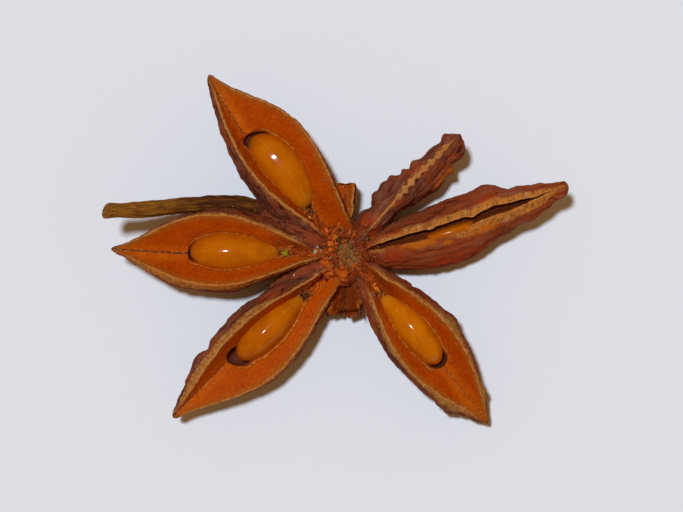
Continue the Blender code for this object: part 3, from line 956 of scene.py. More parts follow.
def new_material(name):
    """A material with a Principled shader, its graph and the shader's inputs."""
    made = bpy.data.materials.new(name)
    made.use_nodes = True
    shader = made.node_tree.nodes["Principled BSDF"]
    return made, Graph(made.node_tree), shader.inputs


def finish_surface(graph, put, colour, roughness, gloss, normal):
    """Feed the shader's colour, roughness, gloss and bump."""
    graph.feed(put["Base Color"], colour)
    graph.feed(put["Roughness"], roughness)
    put["Specular IOR Level"].default_value = gloss
    graph.feed(put["Normal"], normal)


def husk_inside(graph, groups, look, place, rough_rim):
    """Colour of the waxy faces, the pocket and the crease, with painted shade in slits,
    hollows and throats.
    """
    uneven, specks = groups["uneven"], groups["specks"]
    pocket, crease, seat = (graph.mark(key) for key in ("pocket", "crease", "seat"))
    face = graph.blend(graph.mark("tint"), look.face, look.face_other)
    face = graph.use(uneven, Colour=face, Other=look.face_other, Place=place, Scale=0.55,
                     Amount=0.6)
    face = graph.use(uneven, Colour=face, Other=look.face_deep,
                     Place=graph.stretch(place, 0.6, 1.0), Scale=0.8, Amount=0.3)
    patches = graph.step(graph.noise(place, 1.2, 4.0), 0.3, 0.6)
    face = graph.lay(face, look.face_glow, graph.mark("gleam"), patches, 0.9)
    face = graph.lay(face, look.face_glow, graph.step(pocket, 1.0, 0.3), 0.48)
    face = graph.lay(face, look.face_edge, graph.step(rough_rim, -0.7, -0.08), 0.8)
    grain = graph.noise(place, 3.4, 4.0, 0.75)
    face = graph.lay(face, look.face_deep, graph.step(grain, 0.5, 0.68), 0.6)
    face = graph.lay(face, look.face_glow, graph.step(grain, 0.47, 0.32), 0.5)

    torn = graph.step(graph.noise(place, 4.0, 5.0, 0.75), 0.42, 0.58)
    flesh = graph.blend(torn, look.flesh_dark, look.flesh)
    ragged = graph.sum("MULTIPLY_ADD", graph.noise(place, 2.2, 5.0, 0.7), 0.7,
                       graph.mark("worn"))
    face = graph.lay(face, flesh, graph.step(ragged, 0.55, 1.15))
    dots = graph.use(specks, Place=place, Scale=4.0, Size=0.15, Share=0.16)
    face = graph.lay(face, look.speck, dots, 0.55)

    # the pocket's edge: a bright ring, a painted shadow where the seed meets the face, a
    # groove and pale dots
    face = graph.lay(face, look.face_glow, graph.step(pocket, 0.34, 0.24),
                     graph.step(pocket, 0.08, 0.18), seat, 0.7)
    face = graph.lay(face, look.pocket, graph.step(pocket, 0.22, 0.1), seat, 0.8)
    face = graph.lay(face, look.speck, graph.near(pocket, 0.47, 0.09, 0.02), seat, 0.6)
    face = graph.lay(face, look.fleck, graph.near(pocket, 0.37, 0.08, 0.03),
                     graph.step(graph.noise(place, 4.2, 2.0), 0.46, 0.56), seat, 0.75)

    # the crease: a broken dark line between pale flecks
    face = graph.lay(face, look.pocket, graph.step(crease, 0.11, 0.02), graph.mark("seam"),
                     graph.step(graph.noise(place, 2.6, 3.0), 0.32, 0.52))
    face = graph.lay(face, look.fleck, graph.step(crease, 0.17, 0.07),
                     graph.step(graph.noise(place, 6.0, 2.0), 0.54, 0.62), 0.7)
    # painted shade: the hollow colour laid over shaded slits, hollows and throats
    face = graph.lay(face, look.hollow, graph.mark("gloom"))
    return graph.lay(face, look.pocket, graph.step(pocket, 0.0, -0.12))


def husk_outside(graph, groups, look, place, rough_rim):
    """Colour of the wrinkled walls, their granular bands and their patches."""
    flush = graph.mark("flush")
    wall = graph.use(groups["relief"], Relief=graph.mark("relief"), Place=place,
                     Valley=look.valley, Body=graph.blend(flush, look.wall, look.flush),
                     Back=look.dust, Flush=look.flush)
    dots = graph.use(groups["specks"], Place=place, Scale=5.5, Size=0.2, Share=0.3)
    wall = graph.lay(wall, look.dust, dots, 0.35)
    stripes = graph.noise(graph.stretch(place, 2.6, 1.3, 1.3), 1.5, 5.0, 0.72)
    band = graph.blend(graph.step(stripes, 0.33, 0.58), look.band_dark,
                       graph.blend(flush, look.band, look.band_warm))
    teeth = graph.noise(graph.stretch(place, 2.0, 0.9, 0.9), 1.1, 2.0)
    band = graph.lay(band, look.band_pale, graph.step(teeth, 0.56, 0.66), 0.45)
    past = graph.sum("SUBTRACT", rough_rim, graph.mark("band"))
    wall = graph.lay(wall, band, graph.step(past, 0.2, -0.12), graph.mark("crest"), 0.92)
    for key, colour in (("red", look.stain), ("amber", look.amber), ("peel", look.peel)):
        patch = graph.mark(key)
        blot = graph.sum("MULTIPLY_ADD", graph.noise(place, 2.2, 4.0, 0.7), 1.1, patch)
        wall = graph.lay(wall, colour, graph.step(blot, 0.72, 1.4), 0.85,
                         graph.step(patch, 0.02, 0.1))
    return wall


def husk_material(groups, look):
    """Husk: waxy faces inside, a worn rim, a granular band and wrinkled walls."""
    made, graph, put = new_material("husk_skin")
    place = graph.mark("place", vector=True)
    wobble = graph.sum("SUBTRACT", graph.noise(place, 3.2, 4.0, 0.6), 0.5)
    rough_rim = graph.sum("MULTIPLY_ADD", wobble, 0.2, graph.mark("rim"))
    skin = graph.blend(graph.step(rough_rim, -0.08, 0.02),
                       husk_inside(graph, groups, look, place, rough_rim),
                       husk_outside(graph, groups, look, place, rough_rim))
    skin = graph.lay(skin, look.rim, graph.step(rough_rim, -0.12, -0.05),
                     graph.step(rough_rim, 0.1, 0.02),
                     graph.step(graph.noise(place, 2.4, 5.0, 0.75), 0.4, 0.58),
                     graph.mark("crest"), 0.66)
    skin = graph.lay(skin, look.valley, graph.step(graph.mark("share"), 0.97, 0.99), 0.35)

    sheen = graph.node("ShaderNodeMix", data_type="FLOAT")
    graph.feed(sheen.inputs[0], graph.step(rough_rim, -0.1, 0.02))
    sheen.inputs[2].default_value = look.face_roughness
    sheen.inputs[3].default_value = look.wall_roughness
    fine = graph.sum("MULTIPLY", graph.noise(place, 9.0, 4.0, 0.6),
                     graph.sum("ADD", graph.step(rough_rim, -0.1, 0.1), 0.45))
    finish_surface(graph, put, skin, sheen.outputs[0], 0.02, graph.bump(fine, 0.00012, 0.8))
    return made


def seed_material(groups, look):
    """Polished seed coat with a paler end and a faint line along its edge."""
    made, graph, put = new_material("seed_coat")
    place = graph.mark("place", vector=True)
    coat = graph.blend(graph.mark("glow"), look.seed, look.seed_bright)
    coat = graph.use(groups["uneven"], Colour=coat, Other=look.seed_deep, Place=place,
                     Scale=0.55, Amount=0.6)
    cloud = graph.noise(graph.stretch(place, 0.8, 1.4, 1.0), 1.1, 5.0, 0.6)
    coat = graph.lay(coat, look.seed_end, graph.step(cloud, 0.56, 0.72), 0.3)
    rough_end = graph.sum("MULTIPLY_ADD", graph.noise(place, 2.0, 4.0, 0.7), 0.22,
                          graph.mark("share"))
    coat = graph.lay(coat, look.seed_end, graph.step(rough_end, 0.34, 0.14), 0.75)
    coat = graph.lay(coat, look.seed_end, graph.step(graph.mark("ridge"), 0.18, 0.03),
                     graph.step(graph.noise(place, 1.3, 4.0), 0.4, 0.9), 0.7)
    dots = graph.use(groups["specks"], Place=place, Scale=5.0, Size=0.12, Share=0.1)
    coat = graph.lay(coat, look.speck, dots, 0.4)
    finish_surface(graph, put, coat, look.seed_roughness, 0.03,
                   graph.bump(graph.noise(place, 1.4, 3.0), 0.0001, 0.12))
    put["Coat Weight"].default_value = 0.52
    put["Coat Roughness"].default_value = 0.11
    return made


def stalk_material(groups, look):
    """Fibrous stalk, olive at its free end and darker towards the core."""
    made, graph, put = new_material("stalk_bark")
    place = graph.mark("place", vector=True)
    fibres = graph.noise(graph.stretch(place, 0.35, 3.2), 1.6, 4.0, 0.6)
    old = graph.blend(graph.step(fibres, 0.44, 0.62), look.stalk_dark, look.stalk)
    tip = graph.blend(graph.step(fibres, 0.36, 0.6), look.stalk, look.stalk_tip)
    wander = graph.sum("MULTIPLY_ADD", graph.noise(place, 0.5, 3.0), 0.35,
                       graph.mark("share"))
    bark = graph.lay(old, tip, graph.step(wander, 0.62, 0.28))
    # painted shade in the grooves between the fibres, where the relief is low
    bark = graph.lay(bark, look.stalk_valley, graph.step(graph.mark("relief"), 0.45, 0.1))
    streaks = graph.noise(graph.stretch(place, 0.25, 4.5), 2.2, 3.0, 0.7)
    bark = graph.lay(bark, look.stalk_valley, graph.step(streaks, 0.49, 0.36), 0.75)
    bark = graph.lay(bark, look.stalk_tip, graph.step(streaks, 0.56, 0.66), 0.5)
    dots = graph.use(groups["specks"], Place=graph.stretch(place, 0.6, 1.0), Scale=3.6,
                     Size=0.17, Share=0.24)
    bark = graph.lay(bark, look.band_warm, dots, 0.6)
    finish_surface(graph, put, bark, 0.72, 0.1, graph.bump(fibres, 0.0001, 0.8))
    return made


def core_material(groups, look):
    """Corky, granular core, paler in its pit and orange around it."""
    made, graph, put = new_material("core_cork")
    place = graph.mark("place", vector=True)
    wander = graph.sum("MULTIPLY_ADD", graph.noise(place, 1.6, 4.0, 0.6), 1.2,
                       graph.mark("share"))
    grains = graph.noise(place, 5.0, 4.0, 0.7)
    pit = graph.blend(graph.step(grains, 0.38, 0.6), look.core_dark, look.core)
    pit = graph.lay(pit, look.core_ring, graph.step(graph.noise(place, 1.3, 3.0), 0.4, 0.65),
                    0.5)
    ring = graph.blend(graph.step(graph.noise(place, 1.1, 4.0, 0.6), 0.4, 0.6),
                       look.core_ring_dark, look.core_ring)
    ring = graph.lay(ring, look.core, graph.step(grains, 0.52, 0.7), 0.55)
    ring = graph.lay(ring, look.flesh_dark, graph.mark("dim"), 0.75)
    cork = graph.lay(pit, ring, graph.step(wander, 1.45, 1.8))
    # painted shade in the cracks, where the relief is low
    cork = graph.lay(cork, look.core_dark, graph.step(graph.mark("relief"), 0.4, 0.1))
    dots = graph.use(groups["specks"], Place=place, Scale=4.0, Size=0.2, Share=0.2)
    cork = graph.lay(cork, look.crumb_pale, dots, 0.5)
    finish_surface(graph, put, cork, 0.7, 0.08, graph.bump(grains, 0.0002, 0.9))
    return made


def bits_material(name, roughness):
    """Loose bits, each of its own tint."""
    made, graph, put = new_material(name)
    place = graph.mark("place", vector=True)
    tint = graph.mark("tint", vector=True)
    shaded = graph.blend(0.55, tint, (0.0, 0.0, 0.0))
    grains = graph.step(graph.noise(place, 5.0, 4.0, 0.7), 0.35, 0.65)
    finish_surface(graph, put, graph.blend(grains, shaded, tint), roughness, 0.12,
                   graph.bump(graph.noise(place, 14.0, 3.0), 0.00005, 0.7))
    return made


def floor_material(look):
    """Plain pale paper."""
    made, graph, put = new_material("pale_paper")
    spot = graph.node("ShaderNodeTexCoord").outputs["Object"]
    soft = graph.noise(spot, 40.0, 2.0)
    dim = tuple(0.985 * value for value in look.paper)
    graph.feed(put["Base Color"], graph.blend(soft, look.paper, dim))
    put["Roughness"].default_value = 0.85
    put["Specular IOR Level"].default_value = 0.2
    return made


# ---------------------------------------------------------------- other shapes

def smooth_route(points, count):
    """A smooth curve through the points, sampled evenly enough for a tube."""
    p = np.asarray(points, float)
    p = np.concatenate([2 * p[:1] - p[1:2], p, 2 * p[-1:] - p[-2:-1]])
    u = np.linspace(0, len(points) - 1, count)
    k = np.minimum(u.astype(int), len(points) - 2)
    f = (u - k)[:, None]
    a, b, c, d = p[k], p[k + 1], p[k + 2], p[k + 3]
    return 0.5 * (2 * b + (c - a) * f + (2 * a - 5 * b + 4 * c - d) * f ** 2
                  + (3 * b - a - 3 * c + d) * f ** 3)


def tube_grid(route, radius, columns, flat=1.0):
    """Rings round a route; flat squeezes them in height."""
    ahead = np.gradient(route, axis=0)
    ahead /= np.linalg.norm(ahead, axis=1, keepdims=True)
    aside = np.cross(np.array([0.0, 0.0, 1.0]), ahead)
    aside /= np.linalg.norm(aside, axis=1, keepdims=True)
    upward = np.cross(ahead, aside)
    turn = -2 * np.pi * np.arange(columns) / columns
    ring = (np.cos(turn)[None, :, None] * aside[:, None]
            + flat * np.sin(turn)[None, :, None] * upward[:, None])
    return route[:, None] + np.reshape(radius, (len(route), -1, 1)) * ring


def seed_grid(seed, number):
    """A polished seed: rounded outer end, slimmer inner end, a ridge on its edge."""
    noise = Noise(RANDOM["seed"] + number)
    rows, columns = 110, 88
    u = 0.5 - 0.5 * np.cos(np.linspace(0.06, np.pi - 0.06, rows))
    size = seed_size(seed, 2 * u - 1)
    turn = -2 * np.pi * np.arange(columns) / columns
    square = (np.abs(np.cos(turn)) ** SQUARE + np.abs(np.sin(turn)) ** SQUARE) ** (-1 / SQUARE)
    across = np.cos(turn) * square * 0.5 * seed.width
    up = np.sin(turn) * square * 0.5 * seed.height
    ridge = np.exp(-((np.cos(turn) * square) / 0.09) ** 2) * (np.sin(turn) > 0)
    up = up + 0.035 * ridge
    s = (u - 0.5) * seed.length
    s = np.broadcast_to(s[:, None], (rows, columns))
    t = (size * seed_taper(2 * u - 1))[:, None] * across[None]
    z = size[:, None] * up[None]
    wave = 0.035 * noise.at(s * 0.5, t * 0.6, z * 0.6)
    t = t * (1 + wave) + seed.bow * ((2 * u - 1) ** 2)[:, None]
    z = z * (1 + wave) - 0.05 * seed.height * (s / seed.length * 2) ** 2
    t, z = turned(t, z, math.radians(seed.roll))
    s, z = turned(s, z, math.radians(SEED_PITCH))
    out, aside = turned(s, t, math.radians(seed.turn))
    grid = np.stack([out + seed.along, aside + seed.aside, z + seed.middle], -1)
    marks = {
        "share": np.broadcast_to(u[:, None], s.shape),
        "ridge": np.where(np.sin(turn) > 0, np.abs(across), FAR)[None] * np.ones((rows, 1)),
        "glow": np.full(s.shape, seed.glow),
        "place": np.stack([s, t, z + 10.0 * number], -1),
    }
    return grid, marks


CORE_RADIUS = 2.9
CORE_SHIFT = 0.14          # the core's middle is this far to +X of the star's
PIT_RADIUS = 1.2
PIT_HEIGHT = 4.95
RING_RISE = 0.4            # how far the ring stands above the pit
RING_FALL = 0.75           # and how far it falls again to its outer edge
DIM_WAY = 0.17             # the core is darker towards the slit, on this bearing, radians


def core_grid():
    """The corky middle of the star: a granular pit in a crumbly, torn ring."""
    noise = Noise(RANDOM["core"])
    columns = 230
    turn = 2 * np.pi * np.arange(columns) / columns
    inner = np.linspace(0.05, CORE_RADIUS, 72)
    height = (PIT_HEIGHT + RING_RISE * ease(0.85, 1.5, inner)
              - RING_FALL * ease(1.9, CORE_RADIUS, inner))
    side = np.linspace(4.5, 1.5, 22)
    r = np.concatenate([inner, CORE_RADIUS - 0.9 * ((4.5 - side) / 3.0), [1.6, 0.8, 0.1]])
    z = np.concatenate([height, side, [1.3, 1.3, 1.3]])
    r = r[:, None] * np.ones((1, columns))
    z = z[:, None] * np.ones((1, columns))
    lobes = 1 + 0.16 * noise.at(1.6 * np.cos(turn), 1.6 * np.sin(turn)) * ease(0.8, 2.2, r)
    x = r * lobes * np.cos(turn) + CORE_SHIFT
    y = r * lobes * np.sin(turn)
    grid = np.stack([x, y, z], -1)
    normal = grid_normals(grid)
    ring = ease(0.9, 1.4, r)
    coarse = noise.at(x * 0.9, y * 0.9, z * 0.9)
    shreds = noise.folds(x * 1.5 + 3, y * 1.5, z * 1.5)
    grains = noise.at(x * 4.2, y * 4.2, z * 4.2)
    relief = (0.3 * coarse * (0.5 + ring) + 0.3 * (shreds - 0.5) * (0.4 + 0.6 * ring)
              + 0.13 * grains + 0.06 * noise.at(x * 9, y * 9, z * 9))
    grid = grid + normal * relief[..., None]
    marks = {"relief": 0.3 + 0.5 * shreds + 0.12 * (1 - ring) + grains * 0.35,
             "dim": ease(0.5, 0.95, np.cos(turn + DIM_WAY))[None] * ring,
             "share": r / PIT_RADIUS, "place": np.stack([x, y, z], -1)}
    return grid, marks


SHOULDERS = (
    ((-2.25, 1.0, 4.9, 0.4), (-2.7, 1.15, 5.0, 0.75), (-3.6, 1.5, 4.95, 0.9),
     (-5.0, 2.15, 4.5, 1.0), (-6.4, 3.0, 3.8, 0.8), (-7.8, 3.9, 3.0, 0.2)),
    ((-1.8, -1.1, 4.7, 0.35), (-2.3, -1.2, 4.9, 0.6), (-3.2, -1.45, 4.8, 0.75),
     (-4.6, -2.0, 4.2, 0.8), (-6.0, -2.8, 3.4, 0.6), (-7.2, -3.6, 2.7, 0.15)),
)


def shoulder_grid(number):
    """A swollen lobe where the walls of two follicles join, torn at the core."""
    noise = Noise(RANDOM["shoulder"] + number)
    spots = smooth_route(SHOULDERS[number], 110)
    grid = tube_grid(spots[:, :3], spots[:, 3], 84, flat=0.95)
    run = np.linspace(0, 1, len(spots))[:, None] * np.ones((1, 84))
    x, y, z = (grid[..., k] for k in range(3))
    way = math.atan2(spots[-1, 1] - spots[0, 1], spots[-1, 0] - spots[0, 0])
    along = x * math.cos(way) + y * math.sin(way)
    aside = y * math.cos(way) - x * math.sin(way)
    bend = 0.3 * noise.at(along * 0.5, aside * 0.5, z * 0.5)
    coarse = noise.at(along * 0.25, aside * 1.0 + bend, z * 1.0)
    small = noise.folds(along * 0.3, aside * 2.2 + bend, z * 2.2)
    outward = ease(0.1, 0.45, run)
    relief = (0.52 + 0.25 * coarse + (0.15 + 0.3 * outward) * (small - 0.7)
              + 0.08 * noise.at(along * 4, aside * 4, z * 4))
    grid = grid + grid_normals(grid) * (0.28 * (relief - 0.5))[..., None]
    grid[..., 0] += 0.25 * noise.at(y * 2.2, z * 2.2) * (1 - ease(0, 0.15, run))
    marks = {key: np.zeros_like(run) for key in
             ("band", "tint", "worn", "crest", "seat", "gleam", "seam", "gloom", "amber")}
    marks.update(
        rim=np.full_like(run, 1.5), pocket=np.full_like(run, FAR),
        crease=np.full_like(run, FAR), relief=relief, share=np.full_like(run, 0.3),
        flush=0.75 - 0.6 * ease(0.3, 0.8, run), red=0.36 * (1 - ease(0.15, 0.75, run)),
        peel=1.0 - ease(0.02, 0.12, run),
        place=np.stack([along, aside, z + 40.0 + 10 * number], -1))
    return grid, marks


STALK_ROUTE = ((-20.85, 3.74, 9.2), (-17.3, 3.9, 7.7), (-13.8, 4.3, 6.0),
               (-10.7, 4.5, 4.5), (-7.8, 4.1, 3.2), (-5.4, 2.9, 2.4),
               (-2.5, 1.1, 2.0), (0.0, 0.0, 2.0))


def stalk_grid(sizes):
    """The bent stalk with lengthwise fibres and a slanted, flared free end."""
    noise = Noise(RANDOM["stalk"])
    columns = 96
    route = smooth_route(STALK_ROUTE, 290)
    far = np.concatenate([[0], np.cumsum(np.linalg.norm(np.diff(route, axis=0), axis=1))])
    radius = sizes.stalk_radius * 1000 * (
        0.95 + 0.12 * noise.at(far * 0.35)
        + 0.05 * noise.at(far * 1.4, 4.0) + 0.25 * ease(18, 21, far))
    turn = np.linspace(0, 2 * np.pi, columns, endpoint=False)
    twist = turn[None] + 0.05 * far[:, None]
    u, v = np.cos(twist), np.sin(twist)
    run = far[:, None]
    fibres = noise.at(u * 3.2, v * 3.2, run * 0.16) + 0.6 * noise.at(u * 7, v * 7, run * 0.3)
    knots = noise.at(u * 1.2, v * 1.2, run * 0.7)
    relief = 0.075 * fibres + 0.06 * knots
    grid = tube_grid(route, radius[:, None] * (1 + 0 * u) + relief, columns)
    slant = 0.3 * (grid[:1, :, 1] - route[0, 1]) + 0.2 * (grid[:1, :, 2] - route[0, 2])
    grid[..., 0] += slant * np.exp(-run / 0.8)
    centre = route[0] + np.array([0.25, 0.0, 0.0])
    rings = []
    for share in (0.25, 0.5, 0.72, 0.9):
        ring = centre + (grid[0] - centre) * share
        ring[:, 0] += 0.12 * noise.at(ring[:, 1] * 3, ring[:, 2] * 3, 9.0)
        rings.append(ring)
    grid = np.concatenate([np.stack(rings), grid])
    count = len(rings)
    pad = ((count, 0), (0, 0))
    marks = {
        "share": np.pad(run / far[-1] + 0 * u, pad, mode="edge"),
        "relief": np.pad(0.5 + 0.5 * fibres, pad, mode="edge"),
        "place": np.pad(np.stack([run + 0 * u, 0.7 * turn[None] + 0 * run, 0 * u], -1),
                        pad + ((0, 0),), mode="edge"),
    }
    return grid, marks


def lump_pattern(fineness):
    """Points and triangles of a small round lump."""
    shape = bmesh.new()
    bmesh.ops.create_icosphere(shape, subdivisions=fineness, radius=1.0)
    points = np.array([vert.co for vert in shape.verts])
    faces = np.array([[vert.index for vert in face.verts] for face in shape.faces])
    shape.free()
    return points, faces


def lumps_mesh(name, lumps, draw, fineness=2):
    """Many small uneven lumps in one mesh.

    Each is its place and (long, wide, thick) size in mm, its tint, and its heading
    in plan, or None for any."""
    points, faces = lump_pattern(fineness)
    noise = Noise(int(draw.integers(1000)))
    all_points, all_faces, tints, spots = [], [], [], []
    for number, (place, size, tint, heading) in enumerate(lumps):
        swell = 1 + 0.6 * noise.at(points[:, 0] * 1.6 + number * 3.1, points[:, 1] * 1.6,
                                   points[:, 2] * 1.6)
        tip, roll, way = draw.uniform(-1, 1, 3)
        turn = math.pi * way if heading is None else math.radians(heading + 25 * way)
        turn = Euler((0.25 * math.pi * roll, 0.15 * math.pi * tip, turn))
        turned = (points * swell[:, None] * size) @ np.array(turn.to_matrix()).T
        all_points.append(turned + place)
        all_faces.append(faces + number * len(points))
        tints.append(np.tile(tint, (len(points), 1)))
        spots.append(turned + number * 5.0)
    world = to_world(np.concatenate(all_points))
    mesh = bpy.data.meshes.new(name)
    mesh.from_pydata(world.tolist(), [], np.concatenate(all_faces).tolist())
    for key, value in (("tint", tints), ("place", spots)):
        layer = mesh.attributes.new(key, "FLOAT_VECTOR", "POINT")
        layer.data.foreach_set("vector", np.concatenate(value).astype(np.float32).ravel())
    mesh.shade_smooth()
    return mesh


def between(low, high, share):
    """A colour between two others."""
    return np.array(low) * (1 - share) + np.array(high) * share


def from_axis(arm_name, s, t, z):
    """A place on a follicle's axis as (x, y, z) in millimetres from the star's centre."""
    x, y = turned(s, t, math.radians(arm_named(arm_name).heading))
    return np.array([x, y, z])


SURFACES = {}             # arm: its grid, its place in the frame, normals and marks
FILL_HEIGHT = 4.9         # height of the torn flesh in the channels towards the core


def resting_height(name, s, t):
    """Height of a follicle's inner face at the places (s, t) of its axis."""
    local, _, _, marks = SURFACES[name]
    face = local[marks["rim"] < 0.0]
    s, t = np.reshape(s, (-1, 1)), np.reshape(t, (-1, 1))
    away = (face[:, 0] - s) ** 2 + (face[:, 1] - t) ** 2
    return face[np.argmin(away, axis=1), 2]


def round_core(out, way, z):
    """A place round the core's middle, its bearing in radians."""
    return np.array([out * math.cos(way) + CORE_SHIFT, out * math.sin(way), z])


def floor_under(name, s, t):
    """Height at which loose bits lie: on the inner face, or on what fills it."""
    return max(resting_height(name, s, t)[0], FILL_HEIGHT)


def build_follicle(arm, number, name, sizes, material):
    """One arm of the star as a piece of husk."""
    grid, marks = follicle_grid(arm, RANDOM["arm"] + number, sizes.wrinkle)
    if arm.cut < 1:
        grid, marks = close_cut(grid, marks)
    world = to_world(grid, arm.heading)
    SURFACES[arm.name] = (grid, world, grid_normals(world), marks)
    return add_husk(name, grid_mesh(name, world, marks), material)


# ---------------------------------------------------------------- properties

LIGHT_LEVEL = 0.87        # brightness of a white, level surface under the stage's lights


def shade(label, about, red, green, blue):
    """A colour property, given as it looks under the stage's lights."""
    default = tuple(min(1.0, value / LIGHT_LEVEL) for value in tone(red, green, blue))
    return light_colour(label, about, *default)


def light_colour(label, about, *default):
    """A colour property, given as it is."""
    return FloatVectorProperty(name=label, description=about, subtype="COLOR", size=3,
                               min=0.0, max=1.0, default=default)


def share_of(label, about, default, most=1.0):
    """A property that is a share, from 0 up."""
    return FloatProperty(name=label, description=about, default=default, min=0.0, max=most,
                         subtype="FACTOR")


def number_of(label, about, default, most):
    """A property that counts."""
    return IntProperty(name=label, description=about, default=default, min=0, max=most)


class POD_PG_sizes(bpy.types.PropertyGroup):
    """Sizes that change how worn and rough the pod looks."""

    wrinkle: share_of("Wrinkle depth", "Share of the usual depth", 1.0, most=2.0)
    stalk_radius: FloatProperty(name="Stalk radius", description="Radius of the stalk",
                                default=0.7 * MM, min=0.3 * MM, max=1.2 * MM, unit="LENGTH")
    shreds: number_of("Shreds", "Number of shreds between seed and core", 80, 200)
    crumbs: number_of("Crumbs", "Number of crumbs at each seed's end", 24, 90)
    dust: number_of("Dust", "Number of pale specks on each follicle", 110, 400)


class POD_PG_colours(bpy.types.PropertyGroup):
    """Colours of the husk, seeds, stalk and crumbs."""

    face: shade("Face", "Waxy inner face", 160, 53, 1)
    face_other: shade("Face, paler", "Paler parts of the inner face", 174, 68, 2)
    face_glow: shade("Face by the pocket", "Inner face close to the seed", 184, 88, 8)
    face_edge: shade("Face by the rim", "Inner face close to the rim", 150, 80, 20)
    face_deep: shade("Face, darker", "Darker mottling of the inner face", 136, 40, 2)
    stain: shade("Stains", "Orange-red patches of the outer wall", 166, 58, 20)
    amber: shade("Amber stains", "Orange patches of the outer wall", 196, 104, 24)
    peel: shade("Peeled skin", "Tan patches where the skin has peeled", 160, 108, 50)
    flesh: shade("Flesh", "Torn flesh near the core", 174, 70, 16)
    flesh_dark: shade("Flesh, darker", "Darker torn flesh", 98, 32, 12)
    pocket: shade("Pocket", "Inside of the seed pocket", 100, 46, 30)
    # hollow: painted shade deep inside a slit or a broken arm
    hollow: shade("Hollow", "Deep inside of a slit or a broken arm", 76, 30, 16)
    speck: shade("Specks", "Small dark specks", 92, 38, 12)
    fleck: shade("Flecks", "Pale flecks along creases", 206, 140, 66)
    rim: shade("Rim", "Worn edge of the rim", 188, 126, 66)
    band: shade("Band", "Granular band outside the rim", 190, 122, 56)
    band_pale: shade("Band, paler", "Pale teeth of the granular band", 206, 158, 98)
    band_warm: shade("Band, redder", "Granular band over a redder wall", 204, 124, 48)
    band_dark: shade("Band, darker", "Gaps in the granular band", 126, 70, 32)
    wall: shade("Wall", "Outer wall", 103, 56, 41)
    flush: shade("Wall, redder", "Redder parts of the outer wall", 150, 64, 29)
    # valley: painted shade in the wrinkles' valleys, and the dark beak tip's own colour
    valley: shade("Valleys", "Bottoms of the wrinkles", 54, 24, 17)
    # backs: dust on the wrinkles' backs together with a painted sheen; also the colour of the
    # walls' dust specks
    dust: shade("Backs", "Dusty backs of the wrinkles", 150, 102, 72)
    seed: shade("Seed", "Polished seed coat", 176, 86, 0)
    seed_bright: shade("Seed, brighter", "Brighter seed coats", 198, 104, 0)
    seed_deep: shade("Seed, darker", "Darker parts of the seed coat", 158, 70, 0)
    seed_end: shade("Seed end", "Inner end of a seed", 200, 122, 18)
    stalk: shade("Stalk", "Raised fibres of the stalk", 116, 62, 14)
    stalk_dark: shade("Stalk, darker", "Stalk near the core", 72, 34, 12)
    stalk_tip: shade("Stalk tip", "Free end of the stalk", 146, 94, 22)
    # stalk grooves: painted shade between the fibres, and the colour of the dark streaks
    stalk_valley: shade("Stalk grooves", "Grooves between fibres", 60, 32, 14)
    core: shade("Core", "Corky pit", 156, 108, 56)
    # core, darker: the pit's dark grains, and painted shade in its cracks
    core_dark: shade("Core, darker", "Cracks in the core", 76, 40, 18)
    core_ring: shade("Core ring", "Crumbly ring round the pit", 192, 88, 18)
    core_ring_dark: shade("Core ring, darker", "Shaded parts of the ring", 126, 46, 14)
    crumb_pale: shade("Crumb, pale", "Paler crumbs", 170, 108, 52)
    crumb: shade("Crumb", "Darker crumbs", 92, 48, 18)
    shred: shade("Shreds", "Bright fibres between seed and core", 214, 98, 18)
    shred_dark: shade("Shreds, darker", "Red fibres between seed and core", 130, 40, 14)
    bit_green: shade("Green bit", "Unripe scrap beside a seed", 160, 136, 22)
    bit_yellow: shade("Yellow bit", "Bright scrap beside a seed", 232, 168, 26)
    bit_orange: shade("Orange bit", "Bright torn flesh", 226, 122, 16)
    bit_grey: shade("Grey bit", "Pale mineral scrap", 196, 184, 158)
    dust_speck: shade("Dust", "Pale dust on the husk", 214, 170, 116)
    face_roughness: share_of("Face roughness", "Roughness of the faces", 0.45)
    wall_roughness: share_of("Wall roughness", "Roughness of the walls", 0.72)
    seed_roughness: share_of("Seed roughness", "Roughness of the seeds", 0.2)


class POD_PG_stage(bpy.types.PropertyGroup):
    """Floor, lights and camera."""

    paper: light_colour("Paper", "Colour of the floor", 0.84, 0.822, 0.809)
    sun: FloatProperty(name="Sun", description="Strength of the main light", default=2.84,
                       min=0.0, max=20.0)
    sun_tint: light_colour("Sun colour", "Colour of the main light", 0.723, 0.847, 1.0)
    sun_size: FloatProperty(name="Sun size", description="Apparent width of the main light",
                            default=math.radians(5.0), min=0.0, max=math.pi,
                            subtype="ANGLE")
    sun_height: FloatProperty(name="Sun height", description="Height above the floor",
                              default=math.radians(78.7), min=0.0, max=0.5 * math.pi,
                              subtype="ANGLE")
    sky: FloatProperty(name="Sky", description="Strength of the light from all round",
                       default=0.225, min=0.0, max=10.0)
    sky_tint: light_colour("Sky colour", "Colour of the light from all round",
                           1.0, 0.6, 0.25)
    backdrop: light_colour("Backdrop", "Colour past the floor", 0.68, 0.69, 0.71)
    lens: FloatProperty(name="Lens", description="Focal length in millimetres",
                        default=200.0, min=20.0, max=400.0, unit="CAMERA")
    distance: FloatProperty(name="Camera distance", description="Camera above the floor",
                            default=0.338, min=0.05, max=2.0, unit="LENGTH")


# ---------------------------------------------------------------- operators

class PieceOperator(bpy.types.Operator):
    """Builds pieces of the pod; each kind of piece has its own build."""

    bl_options = {"REGISTER"}

    def execute(self, context):
        self.build(context.scene.pod_sizes, context.scene.pod_colours)
        return {"FINISHED"}


def groups():
    """The node groups that several materials share."""
    makers = {"relief": ("Relief Tone", relief_tone_group),
              "specks": ("Specks", speck_group), "uneven": ("Uneven Tone", uneven_group)}
    return {key: bpy.data.node_groups.get(name) or maker()
            for key, (name, maker) in makers.items()}


